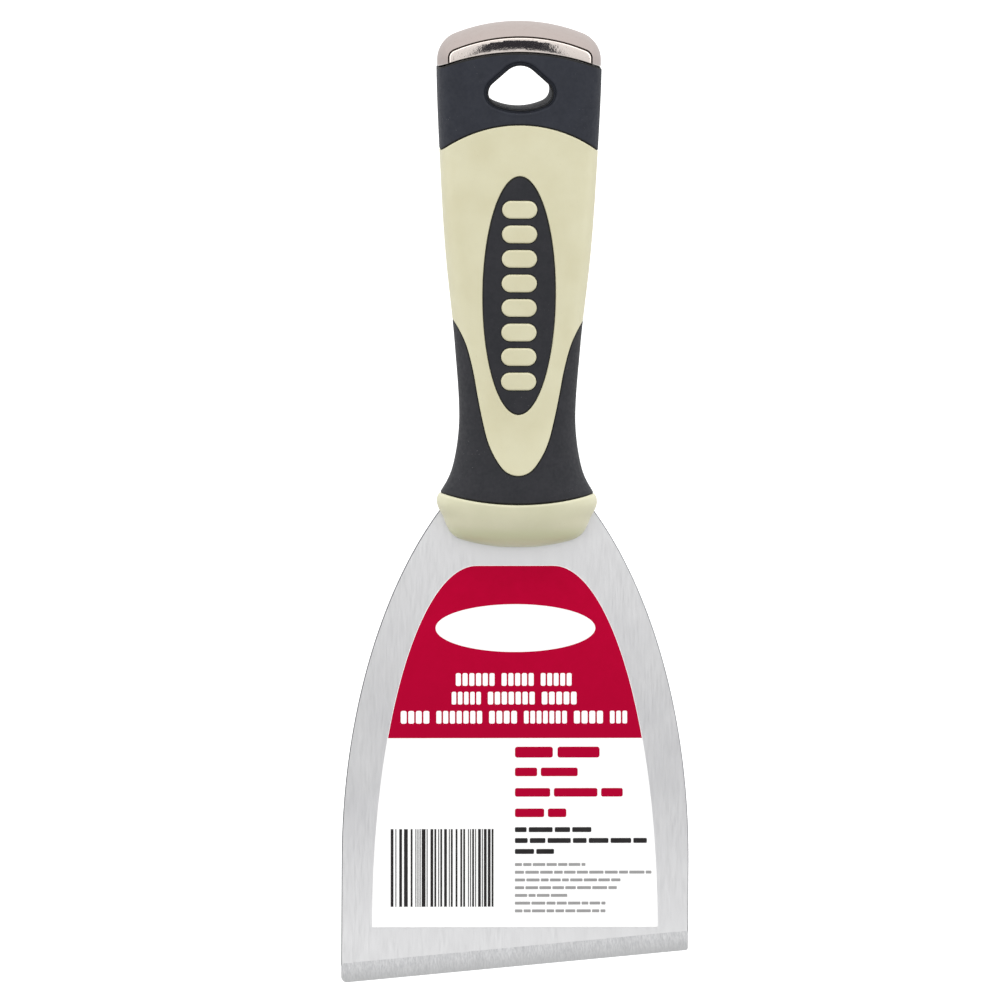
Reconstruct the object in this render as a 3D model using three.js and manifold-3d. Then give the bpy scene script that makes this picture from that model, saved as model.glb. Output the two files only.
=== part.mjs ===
// Stiff hand scraper: a one-piece steel blade and tang in a two-shot moulded handle with a metal hammer end.
// Millimetres, +Z up. The scraper stands upright with its front face towards -Y.
// The origin is the top of the hang hole, where a peg carries the tool.
import * as THREE from "three";
import { mergeVertices } from "three/addons/utils/BufferGeometryUtils.js";
import Module from "manifold-3d";

const wasm = await Module();
wasm.setup();

// General fits. Heights below are measured up from the bolster's lip, and depths out from the blade's middle.
const fitGap = 0.3;
const overrun = 3;

// Blade
const bladeWidth = 76.2;
const bladeReach = 92.45;
const steelThickness = 1.8;
const edgeRise = 7.5;
const lowCornerRadius = 1.3;
const highCornerRadius = 0.6;
const bevelHeight = 4.2;
const bevelDepth = 1.1;
const parallelSidesDepth = 68.9;
const bladeSideShare = 1.235;

// Bolster, as shares of its half-width and of the height of its bead, from the lip up and round the bead
const bolsterHalfWidth = 17.6;
const bolsterHalfDepth = 10;
const beadHeight = 10.1;
const lipHalfDepth = 2.4;
const bolsterSquareness = 2.9;
const bolsterSeamDrop = 0.5;
const bolsterSeamRadius = 64;
const bolsterShares = [
  [0.29, 0], [0.46, 0.06], [0.62, 0.12], [0.725, 0.18], [0.81, 0.28], [0.877, 0.46],
  [0.92, 0.65], [0.968, 0.8], [0.995, 0.92], [1, 1], [0.997, 1.1], [0.98, 1.2], [0.95, 1.35],
];

// Handle sections above the bead, each a rounded oblong; a rise is measured from the section below
const flare = { rise: 2, halfWidth: 16.45, halfDepth: 9.2, squareness: 2.8 };
const throat = { rise: 5.7, halfWidth: 14.1, halfDepth: 8.8, squareness: 2.6 };
const neck = { rise: 9.1, halfWidth: 12.8, halfDepth: 8.8, squareness: 2.6 };
const waist = { rise: 17.5, halfWidth: 13.8, halfDepth: 9.8, squareness: 2.8 };
const palm = { rise: 21.1, halfWidth: 16, halfDepth: 11, squareness: 3.4 };
const heel = { rise: 21.1, halfWidth: 17.3, halfDepth: 11.5, squareness: 4.6 };
const butt = { rise: 17.6, halfWidth: 18, halfDepth: 11.6, squareness: 7 };

// Soft second shot: how deep it lies, and the fields that it fills
const skinThickness = 1.8;
const wedgeNoseRise = 6.3;
const wedgeRise = 33.6;
const wedgeTipHalfWidth = 14.05;
const wedgeShares = [
  [0, 0], [0.19, 0.026], [0.345, 0.105], [0.475, 0.22], [0.573, 0.38], [0.645, 0.53],
  [0.716, 0.69], [0.815, 0.845], [0.935, 0.955], [1.08, 1.05],
];
const collarLength = 15.9;
const collarRadius = 29;

// Oval inlays and the ribs that rise through them
const ovalRise = 13.45;
const ovalHalfWidth = 8.05;
const ovalHalfHeight = 26.25;
const ribCount = 8;
const ribPitch = 5.4;
const ribThickness = 4;
const ribLengthShare = 0.7;
const ribRise = 0.25;

// Hang hole: a rounded kite hung below the cap's seam, then the walls round it from the inside out
const holeApex = { drop: 1.45, radius: 4.2 };
const holeLobe = { drop: 8.3, halfWidth: 9.4, radius: 2.7 };
const holeFoot = { drop: 3.6, radius: 14 };
const holeFlare = 0.8;
const holeFlareDepth = 1;
const linerWall = 1;
const eyeWall = 1;

// Hammer cap
const capSeamRise = 4.75;
const capSeamRadius = 48.5;
const capHeight = 6.6;
const capFrontSetback = 0.5;
const capTopRadius = 38;
const capTopDrop = 3;
const capSideInset = 2.3;
const capCornerRadius = 6.3;
const creaseCornerRadius = 1.7;
const capWall = 2.4;
const spigotHeight = 2.4;
const spigotSquareness = 4.5;

// Tang inside the handle
const shoulderCover = 0.8;
const shoulderCheek = 1.65;
const shoulderRadius = 3;
const tangCheek = 2.55;
const tangRootRadius = 2.5;
const headCheek = 1.5;
const headFootCover = 3.8;
const headCornerRadius = 2;
const keyHoleRadius = 3;
const keyHoleRise = 8;

// Sticker on the front of the blade
const labelThickness = 0.15;
const labelTopDepth = 4.3;
const labelFootMargin = 8.75;
const labelSideMargin = 6.65;
const labelTopHalfWidth = 11.8;
const labelSideShare = 1.037;
const labelTopRadius = 2.6;
const labelBottomRadius = 0.3;

// Facets
const sectionSides = 48;
const innerSides = 24;
const stationSteps = 20;
const innerSteps = 10;
const cornerSteps = 4;
const seamSteps = 20;
const sideSteps = 16;
const capStations = 4;

const steel = { color: 0xc9cbcd, roughness: 0.32, metalness: 1 };
const creamPlastic = { color: 0xddd9b8, roughness: 0.42, metalness: 0 };
const softBlack = { color: 0x3c3f44, roughness: 0.72, metalness: 0 };
const platedMetal = { color: 0xc8beb8, roughness: 0.18, metalness: 1 };
const printedPaper = { color: 0xb2102f, roughness: 0.5, metalness: 0 };

// Heights and sizes that follow from the ones above
const flareHeight = beadHeight + flare.rise;
const throatHeight = flareHeight + throat.rise;
const neckHeight = throatHeight + neck.rise;
const waistHeight = neckHeight + waist.rise;
const palmHeight = waistHeight + palm.rise;
const heelHeight = palmHeight + heel.rise;
const buttHeight = heelHeight + butt.rise;
const capSeamHeight = buttHeight + capSeamRise;
const capTopHeight = capSeamHeight + capHeight;
const bolsterSeamHeight = beadHeight - bolsterSeamDrop;
const wedgeNoseHeight = bolsterSeamHeight + wedgeNoseRise;
const wedgeTipHeight = wedgeNoseHeight + wedgeRise;
const ovalHeight = wedgeNoseHeight + ovalRise + ovalHalfHeight;
const lastRibShare = ((ribCount - 1) / 2) * (ribPitch / ovalHalfHeight);
const ribHalfLength = ovalHalfWidth * Math.sqrt(1 - lastRibShare ** 2) * ribLengthShare;
const collarHeight = capSeamHeight - collarLength;
const holeApexHeight = capSeamHeight - holeApex.drop;
const holeLobeHeight = holeApexHeight - holeLobe.drop;
const holeFootHeight = holeLobeHeight - holeFoot.drop;
const halfSteel = steelThickness / 2;
const shoulderHeight = beadHeight - shoulderCover;
const shoulderHalfWidth = bolsterHalfWidth - shoulderCheek;
const tangHalfWidth = neck.halfWidth - skinThickness - tangCheek;
const capHalfWidth = butt.halfWidth;
const capHalfDepth = butt.halfDepth - capFrontSetback;
const cavityHalfWidth = capHalfWidth - capWall;
const cavityHalfDepth = capHalfDepth - capWall;
const headHalfWidth = cavityHalfWidth - headCheek;
const coreBoreGrowth = linerWall + fitGap;
const eyeGrowth = coreBoreGrowth + eyeWall + fitGap;
const headShoulderHeight = holeFootHeight - eyeGrowth - headFootCover;
const handleReach = Math.max(butt.halfWidth, bolsterHalfWidth) + overrun;
const handleDepth = Math.max(butt.halfDepth, bolsterHalfDepth) + overrun;

// Turns a closed three.js geometry into a solid that can be joined and cut.
function solidOf(geometry) {
  geometry.deleteAttribute("normal");
  geometry.deleteAttribute("uv");
  const merged = mergeVertices(geometry);
  return new wasm.Manifold(new wasm.Mesh({
    numProp: 3,
    vertProperties: Float32Array.from(merged.attributes.position.array),
    triVerts: Uint32Array.from(merged.index.array),
  }));
}

// Turns a solid back into a flat-shaded three.js mesh with a name and a finish.
function meshOf(name, solid, finish) {
  const result = solid.getMesh();
  const geometry = new THREE.BufferGeometry();
  geometry.setAttribute("position", new THREE.BufferAttribute(result.vertProperties, 3));
  geometry.setIndex(new THREE.BufferAttribute(result.triVerts, 1));
  const flat = geometry.toNonIndexed();
  flat.computeVertexNormals();
  const mesh = new THREE.Mesh(flat, new THREE.MeshStandardMaterial(finish));
  mesh.name = name;
  return mesh;
}

// A plate whose outline is drawn in the front view and whose thickness runs from one depth to another.
function plate(outline, nearDepth, farDepth) {
  const geometry = new THREE.ExtrudeGeometry(new THREE.Shape(outline), {
    depth: farDepth - nearDepth,
    bevelEnabled: false,
  });
  geometry.rotateX(Math.PI / 2);
  geometry.translate(0, farDepth, 0);
  return solidOf(geometry);
}

// A front-view cutter that runs right through the handle.
function throughCut(outline) {
  return plate(outline, -handleDepth, handleDepth);
}

// A skin stretched over rings of equally many points, with a fan over each end.
function loft(rings) {
  const sides = rings[0].length;
  const points = rings.flat();
  const faces = [];
  for (let ring = 0; ring < rings.length - 1; ring += 1) {
    for (let side = 0; side < sides; side += 1) {
      const next = (side + 1) % sides;
      const low = ring * sides;
      const high = low + sides;
      faces.push(low + side, low + next, high + next);
      faces.push(low + side, high + next, high + side);
    }
  }
  const centreOf = (ring) => ring.reduce((sum, point) => sum.add(point), new THREE.Vector3())
    .divideScalar(sides);
  const lastRing = points.length - sides;
  const firstCentre = points.length;
  points.push(centreOf(rings[0]), centreOf(rings.at(-1)));
  for (let side = 0; side < sides; side += 1) {
    const next = (side + 1) % sides;
    faces.push(firstCentre, next, side);
    faces.push(firstCentre + 1, lastRing + side, lastRing + next);
  }
  const geometry = new THREE.BufferGeometry().setFromPoints(points);
  geometry.setIndex(faces);
  return solidOf(geometry);
}

// One level ring of the handle: an oblong that is rounder or squarer by its exponent.
function sectionRing(halfWidth, halfDepth, height, squareness, sides = sectionSides) {
  const power = 2 / squareness;
  return Array.from({ length: sides }, (_, index) => {
    const angle = (2 * Math.PI * index) / sides;
    const across = Math.cos(angle);
    const out = Math.sin(angle);
    return new THREE.Vector3(
      halfWidth * Math.sign(across) * Math.abs(across) ** power,
      halfDepth * Math.sign(out) * Math.abs(out) ** power,
      height,
    );
  });
}

// Front-view outline whose corners are rounded; a corner is { x, z, radius }, anticlockwise.
function roundedOutline(corners) {
  return corners.flatMap((corner, index) => {
    const here = new THREE.Vector2(corner.x, corner.z);
    if (!corner.radius) {
      return [here];
    }
    const before = corners.at(index - 1);
    const after = corners[(index + 1) % corners.length];
    const back = new THREE.Vector2(before.x, before.z).sub(here);
    const on = new THREE.Vector2(after.x, after.z).sub(here);
    const shorter = Math.min(back.length(), on.length());
    back.normalize();
    on.normalize();
    const halfAngle = Math.acos(back.dot(on)) / 2;
    const run = Math.min(corner.radius / Math.tan(halfAngle), shorter / 2);
    const radius = run * Math.tan(halfAngle);
    const centre = here.clone().addScaledVector(back.clone().add(on).normalize(), radius / Math.sin(halfAngle));
    const start = here.clone().addScaledVector(back, run).sub(centre);
    const end = here.clone().addScaledVector(on, run).sub(centre);
    const turn = Math.atan2(start.cross(end), start.dot(end));
    return Array.from({ length: cornerSteps + 1 }, (_, step) => start.clone()
      .rotateAround(new THREE.Vector2(), (turn * step) / cornerSteps)
      .add(centre));
  });
}

// The same outline moved out by a margin, square to each side; a negative margin moves it in.
function grown(outline, margin) {
  return outline.map((point, index) => {
    const before = outline.at(index - 1);
    const after = outline[(index + 1) % outline.length];
    const backNormal = new THREE.Vector2(point.y - before.y, before.x - point.x).normalize();
    const onNormal = new THREE.Vector2(after.y - point.y, point.x - after.x).normalize();
    const middle = backNormal.clone().add(onNormal).normalize();
    return point.clone().addScaledVector(middle, margin / middle.dot(onNormal));
  });
}

function mirrored(rightSide) {
  return rightSide.map((point) => ({ ...point, x: -point.x })).reverse();
}

// Height of an arc over the centre line: an arch falls away to both sides, and a bowl rises.
function arch(top, radius) {
  return (x) => top - radius + Math.sqrt(radius ** 2 - x ** 2);
}

function bowl(bottom, radius) {
  return (x) => bottom + radius - Math.sqrt(radius ** 2 - x ** 2);
}

function archPoints(heightAt, halfWidth) {
  return Array.from({ length: seamSteps + 1 }, (_, step) => {
    const x = halfWidth * (1 - (2 * step) / seamSteps);
    return { x, z: heightAt(x) };
  });
}

// Everything in front view between two heights that vary across the handle.
function bandBetween(lowerAt, upperAt) {
  const upper = archPoints(upperAt, handleReach);
  const lower = archPoints(lowerAt, handleReach).reverse();
  return throughCut(roundedOutline([...lower, ...upper]));
}

function arcPoints(centreX, centreHeight, radius, from, to, steps) {
  return Array.from({ length: steps + 1 }, (_, step) => {
    const angle = THREE.MathUtils.lerp(from, to, step / steps);
    return new THREE.Vector2(
      centreX + radius * Math.cos(angle),
      centreHeight + radius * Math.sin(angle),
    );
  });
}

// Half of a flaring side: a quarter ellipse's arc from a plumb lower end up to a narrower upper end.
function flaringSide(lower, upper, reachShare) {
  const rise = upper.z - lower.z;
  const reach = rise * reachShare;
  const width = (lower.x - upper.x) / (1 - Math.sqrt(1 - (rise / reach) ** 2));
  return Array.from({ length: sideSteps + 1 }, (_, step) => {
    const up = (rise * step) / sideSteps;
    return {
      x: lower.x - width * (1 - Math.sqrt(1 - (up / reach) ** 2)),
      z: lower.z + up,
    };
  });
}

// Handle envelope, shared by the core and the soft parts

const stations = [
  { ...flare, height: beadHeight / 2 },
  { ...flare, height: flareHeight },
  { ...throat, height: throatHeight },
  { ...neck, height: neckHeight },
  { ...waist, height: waistHeight },
  { ...palm, height: palmHeight },
  { ...heel, height: heelHeight },
  { ...butt, height: buttHeight },
  { ...butt, height: capTopHeight },
];
const stationCurve = new THREE.CatmullRomCurve3(
  stations.map((station) => new THREE.Vector3(station.halfWidth, station.halfDepth, station.height)),
  false,
  "centripetal",
);

function squarenessAt(height) {
  const above = stations.findIndex((station) => station.height >= height);
  const high = stations[Math.max(above, 1)];
  const low = stations[Math.max(above, 1) - 1];
  return THREE.MathUtils.mapLinear(height, low.height, high.height, low.squareness, high.squareness);
}

const curveSamples = stationCurve.getPoints(stations.length * stationSteps);

function sizeAt(height) {
  const above = Math.max(curveSamples.findIndex((sample) => sample.z >= height), 1);
  const high = curveSamples[above];
  const low = curveSamples[above - 1];
  const share = (height - low.z) / (high.z - low.z);
  return {
    halfWidth: THREE.MathUtils.lerp(low.x, high.x, share),
    halfDepth: THREE.MathUtils.lerp(low.y, high.y, share),
  };
}

// The handle's body with a skin of the given thickness taken off.
function handleBody(skin, sides, steps) {
  return loft(Array.from({ length: steps + 1 }, (_, step) => {
    const height = THREE.MathUtils.lerp(stations[0].height, capTopHeight, step / steps);
    const size = sizeAt(height);
    const squareness = squarenessAt(height);
    return sectionRing(size.halfWidth - skin, size.halfDepth - skin, height, squareness, sides);
  }));
}

// Front-view outlines

const holeCorners = [
  { x: 0, z: holeFootHeight, radius: holeFoot.radius },
  { x: holeLobe.halfWidth, z: holeLobeHeight, radius: holeLobe.radius },
  { x: 0, z: holeApexHeight, radius: holeApex.radius },
  { x: -holeLobe.halfWidth, z: holeLobeHeight, radius: holeLobe.radius },
];
const holeOutline = roundedOutline(holeCorners);
const holeTop = Math.max(...holeOutline.map((point) => point.y));

const ovalOutline = new THREE.EllipseCurve(0, ovalHeight, ovalHalfWidth, ovalHalfHeight)
  .getPoints(sectionSides)
  .slice(1);

const wedgeCurve = new THREE.SplineCurve([
  ...wedgeShares.slice(1).map(([across, up]) => wedgePoint(-across, up)).reverse(),
  ...wedgeShares.map(([across, up]) => wedgePoint(across, up)),
]);

function wedgePoint(across, up) {
  return new THREE.Vector2(
    across * wedgeTipHalfWidth,
    THREE.MathUtils.lerp(wedgeNoseHeight, wedgeTipHeight, up),
  );
}

// The cream panel: its wedge below, the collar's arch above, and open to both sides.
const panelOutline = [
  ...wedgeCurve.getPoints(2 * seamSteps),
  ...roundedOutline(archPoints(arch(collarHeight, collarRadius), handleReach)),
];

function ribOutline(index, margin) {
  const height = ovalHeight + (index - (ribCount - 1) / 2) * ribPitch;
  const halfLength = ribHalfLength + margin;
  const halfThickness = ribThickness / 2 + margin;
  const corner = (across, up) => ({
    x: across * halfLength,
    z: height + up * halfThickness,
    radius: halfThickness,
  });
  return roundedOutline([corner(-1, -1), corner(1, -1), corner(1, 1), corner(-1, 1)]);
}

function ribs(margin) {
  return Array.from({ length: ribCount }, (_, index) => throughCut(ribOutline(index, margin)))
    .reduce((joined, rib) => joined.add(rib));
}

const edgeHeightAt = (x) => -bladeReach + (edgeRise * x) / bladeWidth;
const headTopAt = arch(capSeamHeight + spigotHeight, capSeamRadius + spigotHeight);
const bladeSide = [
  ...flaringSide(
    { x: bladeWidth / 2, z: -parallelSidesDepth },
    { x: shoulderHalfWidth, z: shoulderHeight },
    bladeSideShare,
  ).map((point, index) => ({ ...point, radius: index === sideSteps ? shoulderRadius : 0 })),
  { x: tangHalfWidth, z: shoulderHeight, radius: tangRootRadius },
  { x: tangHalfWidth, z: headShoulderHeight, radius: tangRootRadius },
  { x: headHalfWidth, z: headShoulderHeight, radius: headCornerRadius },
  { x: headHalfWidth, z: headTopAt(headHalfWidth), radius: headCornerRadius },
];
const bladeOutline = roundedOutline([
  { x: -bladeWidth / 2, z: edgeHeightAt(-bladeWidth / 2), radius: lowCornerRadius },
  { x: bladeWidth / 2, z: edgeHeightAt(bladeWidth / 2), radius: highCornerRadius },
  ...bladeSide,
  ...archPoints(headTopAt, headHalfWidth - 2 * headCornerRadius),
  ...mirrored(bladeSide),
]);

function keyHole(height, margin) {
  const circle = new THREE.EllipseCurve(0, height, keyHoleRadius + margin, keyHoleRadius + margin);
  return throughCut(circle.getPoints(sectionSides / 2).slice(1));
}

// What the tang leaves open: the eye round the hang hole and the key holes, smaller by the margin.
function tangOpenings(margin) {
  return throughCut(grown(holeOutline, eyeGrowth - margin))
    .add(keyHole(neckHeight + keyHoleRise, -margin))
    .add(keyHole(palmHeight + keyHoleRise, -margin));
}

// The parts

// The ground bevel: what the wheel takes off the front, in a band that runs along the skewed edge.
function bevelCut() {
  const along = new THREE.Vector3(bladeWidth, 0, edgeRise).normalize();
  const up = new THREE.Vector3(-along.z, 0, along.x);
  const slopeDepth = (height) => -halfSteel + bevelDepth * (1 - height / bevelHeight);
  const front = -steelThickness - bevelDepth;
  const section = new THREE.Shape([
    new THREE.Vector2(front, -bevelHeight),
    new THREE.Vector2(slopeDepth(-bevelHeight), -bevelHeight),
    new THREE.Vector2(slopeDepth(2 * bevelHeight), 2 * bevelHeight),
    new THREE.Vector2(front, 2 * bevelHeight),
  ]);
  const geometry = new THREE.ExtrudeGeometry(section, { depth: 2 * bladeWidth, bevelEnabled: false });
  geometry.translate(0, 0, -bladeWidth);
  geometry.applyMatrix4(new THREE.Matrix4().makeBasis(new THREE.Vector3(0, 1, 0), up, along));
  geometry.translate(0, 0, -bladeReach);
  return solidOf(geometry);
}

function makeBlade() {
  return plate(bladeOutline, -halfSteel, halfSteel)
    .subtract(tangOpenings(0))
    .subtract(bevelCut());
}

function makeBolster() {
  const rings = bolsterShares.map(([across, up]) => {
    const rounding = Math.sqrt(1 - Math.max(1 - up, 0) ** 2);
    const halfDepth = THREE.MathUtils.lerp(lipHalfDepth, bolsterHalfDepth, rounding);
    return sectionRing(bolsterHalfWidth * across, halfDepth, beadHeight * up, bolsterSquareness);
  });
  return loft(rings).intersect(bandBetween(
    () => -overrun,
    bowl(bolsterSeamHeight - fitGap, bolsterSeamRadius + fitGap),
  ));
}

// The spigot on the core, or with a margin the cavity in the cap that takes it.
function spigot(margin) {
  const halfWidth = cavityHalfWidth - fitGap + margin;
  const halfDepth = cavityHalfDepth - fitGap + margin;
  const low = capSeamHeight - capSeamRadius + Math.sqrt(capSeamRadius ** 2 - capHalfWidth ** 2) - overrun;
  return loft([
    sectionRing(halfWidth, halfDepth, low, spigotSquareness),
    sectionRing(halfWidth, halfDepth, capTopHeight, spigotSquareness),
  ]).intersect(bandBetween(
    () => low,
    arch(capSeamHeight + spigotHeight + margin, capSeamRadius + spigotHeight + margin),
  ));
}

function belowSeam() {
  return bandBetween(() => -overrun, arch(capSeamHeight, capSeamRadius));
}

function holeCut() {
  const depthAt = butt.halfDepth;
  const ringAt = (depth, margin) => grown(holeOutline, margin)
    .map((point) => new THREE.Vector3(point.x, depth, point.y));
  const mouth = holeFlare * (1 + overrun / holeFlareDepth);
  return loft([
    ringAt(depthAt + overrun, mouth),
    ringAt(depthAt - holeFlareDepth, 0),
    ringAt(holeFlareDepth - depthAt, 0),
    ringAt(-depthAt - overrun, mouth),
  ]);
}

function makeCore(envelope) {
  const inner = handleBody(skinThickness, innerSides, innerSteps);
  const raised = handleBody(-ribRise, sectionSides, stationSteps);
  const panel = throughCut(grown(panelOutline, -fitGap))
    .subtract(throughCut(grown(ovalOutline, fitGap)));
  const tangSlot = plate(grown(bladeOutline, fitGap), -halfSteel - fitGap, halfSteel + fitGap)
    .subtract(tangOpenings(fitGap));
  return envelope.intersect(panel)
    .add(raised.intersect(ribs(0)))
    .add(inner)
    .intersect(belowSeam())
    .add(spigot(0))
    .add(makeBolster())
    .subtract(throughCut(grown(holeOutline, coreBoreGrowth)))
    .subtract(tangSlot);
}

// The field of soft skin that the second shot fills over the core.
function softSkin(envelope) {
  return envelope.subtract(handleBody(skinThickness - fitGap, innerSides, innerSteps));
}

function makeLowerGrip(skin) {
  return skin
    .intersect(bandBetween(bowl(bolsterSeamHeight, bolsterSeamRadius), () => ovalHeight))
    .subtract(throughCut(panelOutline));
}

function makeCollar(envelope, skin) {
  const liner = throughCut(grown(holeOutline, linerWall)).intersect(envelope);
  return skin
    .intersect(bandBetween(arch(collarHeight, collarRadius), arch(capSeamHeight, capSeamRadius)))
    .add(liner)
    .subtract(holeCut());
}

function makeInlay(skin, side) {
  return skin
    .intersect(plate(ovalOutline, Math.min(0, side * handleDepth), Math.max(0, side * handleDepth)))
    .subtract(ribs(fitGap));
}

function capRing(share) {
  const fall = share ** 2;
  const halfWidth = capHalfWidth - capSideInset * fall;
  const top = capTopHeight - capTopDrop * fall;
  const corner = THREE.MathUtils.lerp(capCornerRadius, creaseCornerRadius, fall);
  const topCentre = top - capTopRadius;
  const cornerX = halfWidth - corner;
  const cornerHeight = topCentre + Math.sqrt((capTopRadius - corner) ** 2 - cornerX ** 2);
  const tangent = Math.atan2(cornerHeight - topCentre, cornerX);
  const base = capSeamHeight - capSeamRadius + Math.sqrt(capSeamRadius ** 2 - capHalfWidth ** 2) - overrun;
  const outline = [
    new THREE.Vector2(-halfWidth, base),
    new THREE.Vector2(halfWidth, base),
    ...arcPoints(cornerX, cornerHeight, corner, 0, tangent, cornerSteps),
    ...arcPoints(0, topCentre, capTopRadius, tangent, Math.PI - tangent, seamSteps).slice(1, -1),
    ...arcPoints(-cornerX, cornerHeight, corner, Math.PI - tangent, Math.PI, cornerSteps),
  ];
  return outline.map((point) => new THREE.Vector3(point.x, -share * capHalfDepth, point.y));
}

function makeCap() {
  const shares = Array.from({ length: 2 * capStations + 1 }, (_, index) => index / capStations - 1);
  return loft(shares.map(capRing))
    .intersect(bandBetween(
      arch(capSeamHeight + fitGap, capSeamRadius + fitGap),
      () => capTopHeight + overrun,
    ))
    .subtract(spigot(fitGap));
}

function makeLabel() {
  const side = flaringSide(
    { x: bladeWidth / 2 - labelSideMargin, z: labelFootMargin - bladeReach },
    { x: labelTopHalfWidth, z: -labelTopDepth },
    labelSideShare,
  );
  side[0].radius = labelBottomRadius;
  side.at(-1).radius = labelTopRadius;
  return plate(roundedOutline([...side, ...mirrored(side)]), -halfSteel - labelThickness, -halfSteel);
}

const envelope = handleBody(0, sectionSides, stationSteps);
const skin = softSkin(envelope);
const scraper = new THREE.Group();
scraper.add(meshOf("blade", makeBlade(), steel));
scraper.add(meshOf("handle_core", makeCore(envelope), creamPlastic));
scraper.add(meshOf("lower_grip", makeLowerGrip(skin), softBlack));
scraper.add(meshOf("end_collar", makeCollar(envelope, skin), softBlack));
scraper.add(meshOf("inlay_front", makeInlay(skin, -1), softBlack));
scraper.add(meshOf("inlay_back", makeInlay(skin, 1), softBlack));
scraper.add(meshOf("hammer_cap", makeCap(), platedMetal));
scraper.add(meshOf("blade_label", makeLabel(), printedPaper));
scraper.children.forEach((part) => {
  part.position.z = -holeTop;
});

export default scraper;
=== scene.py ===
"""Studio scene of a stiff hand scraper with a two-shot moulded handle and a plated hammer cap.

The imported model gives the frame. Sizes here are millimetres: heights are measured up from the lip of the
bolster, and depths out from the middle of the blade. A Datum turns them into the frame's metres.
"""

import logging
import math
import random
from collections.abc import Callable, Sequence
from dataclasses import dataclass, field
from enum import Enum, IntEnum
from typing import Any, Protocol

import bmesh
import bpy
import numpy as np
from mathutils import Matrix, Vector
from mathutils.geometry import delaunay_2d_cdt
from mathutils.kdtree import KDTree


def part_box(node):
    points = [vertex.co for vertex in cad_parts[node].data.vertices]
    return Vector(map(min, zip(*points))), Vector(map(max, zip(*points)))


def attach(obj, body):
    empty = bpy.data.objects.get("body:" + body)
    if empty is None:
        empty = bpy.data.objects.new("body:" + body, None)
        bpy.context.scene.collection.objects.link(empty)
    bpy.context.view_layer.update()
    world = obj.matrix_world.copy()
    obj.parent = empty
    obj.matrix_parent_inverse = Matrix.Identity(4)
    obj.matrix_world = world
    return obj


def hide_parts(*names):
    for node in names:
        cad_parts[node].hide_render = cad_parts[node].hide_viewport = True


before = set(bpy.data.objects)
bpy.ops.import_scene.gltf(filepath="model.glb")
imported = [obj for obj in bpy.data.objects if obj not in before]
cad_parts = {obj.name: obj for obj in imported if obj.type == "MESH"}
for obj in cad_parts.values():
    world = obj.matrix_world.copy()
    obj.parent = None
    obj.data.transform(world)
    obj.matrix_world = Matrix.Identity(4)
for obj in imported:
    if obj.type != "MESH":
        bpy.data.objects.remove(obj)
log = logging.getLogger("scraper")

MILLIMETRE = 0.001
WELD_DISTANCE = 1e-6
SLIVER_LENGTH = WELD_DISTANCE / 10

# Flat areas: points closer than this many millimetres are one, and added points keep this share of their
# spacing away from every border.
FLAT_WELD = 1e-6
BORDER_CLEARANCE = 0.62

# Angles in degrees above which an edge is shaded sharp, on mouldings and on plates.
SOFT_CREASE = 35.0
PLATE_CREASE = 12.0

# The sockets of a Mix node for colours: the share, the two colours, and the result.
MIX_SHARE, MIX_FIRST, MIX_SECOND = 0, 6, 7
MIX_RESULT = 2

Triangles = np.ndarray
Colour = tuple[int, int, int]
ShaderColour = tuple[float, float, float, float]


# Lines and flat areas


class Ends(Enum):
    """How the two ends of a line are met when the line is moved sideways."""

    UPRIGHT = "each end stays on the upright mirror line that it starts from"
    SQUARE = "each end moves square to its own last stretch"
    JOINED = "the ends meet, and the line is a loop"


class Knots(Enum):
    """How a smooth curve passes its points; the value is the exponent of their distances."""

    CENTRIPETAL = 0.5
    UNIFORM = 0.0


@dataclass(frozen=True)
class Corner:
    """One corner of an outline drawn in the front view."""

    x: float
    height: float
    radius: float = 0.0


def resampled(line: np.ndarray, spacing: float) -> np.ndarray:
    """Walks along a line and marks it at even steps.

    Args:
        line: The points of the line, dense enough to be taken as straight between them.
        spacing: The length of a step, met as nearly as a whole number of steps allows.

    Returns:
        The evenly spaced points, with both ends of the line among them.
    """
    stretch = np.linalg.norm(np.diff(line, axis=0), axis=1)
    walked = np.concatenate(([0.0], np.cumsum(stretch)))
    count = max(2, round(walked[-1] / spacing) + 1)
    marks = np.linspace(0.0, walked[-1], count)
    return np.column_stack([np.interp(marks, walked, column) for column in line.T])


def shifted(line: np.ndarray, distance: float, ends: Ends) -> np.ndarray:
    """Moves a flat line to its left, square to each stretch.

    Args:
        line: The points of the line.
        distance: How far it moves; a negative distance moves it to its right.
        ends: What happens at its two ends.

    Returns:
        As many points as the line has.
    """
    step = np.diff(line, axis=0, append=line[:1]) if ends is Ends.JOINED else np.diff(line, axis=0)
    normal = np.column_stack((-step[:, 1], step[:, 0]))
    normal /= np.linalg.norm(normal, axis=1, keepdims=True)
    if ends is Ends.JOINED:
        before, after = np.roll(normal, 1, axis=0), normal
    else:
        flip = np.array([-1.0, 1.0]) if ends is Ends.UPRIGHT else np.ones(2)
        before = np.vstack((normal[0] * flip, normal))
        after = np.vstack((normal, normal[-1] * flip))
    middle = before + after
    middle /= np.linalg.norm(middle, axis=1, keepdims=True)
    return line + middle * (distance / np.sum(middle * after, axis=1, keepdims=True))


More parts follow.
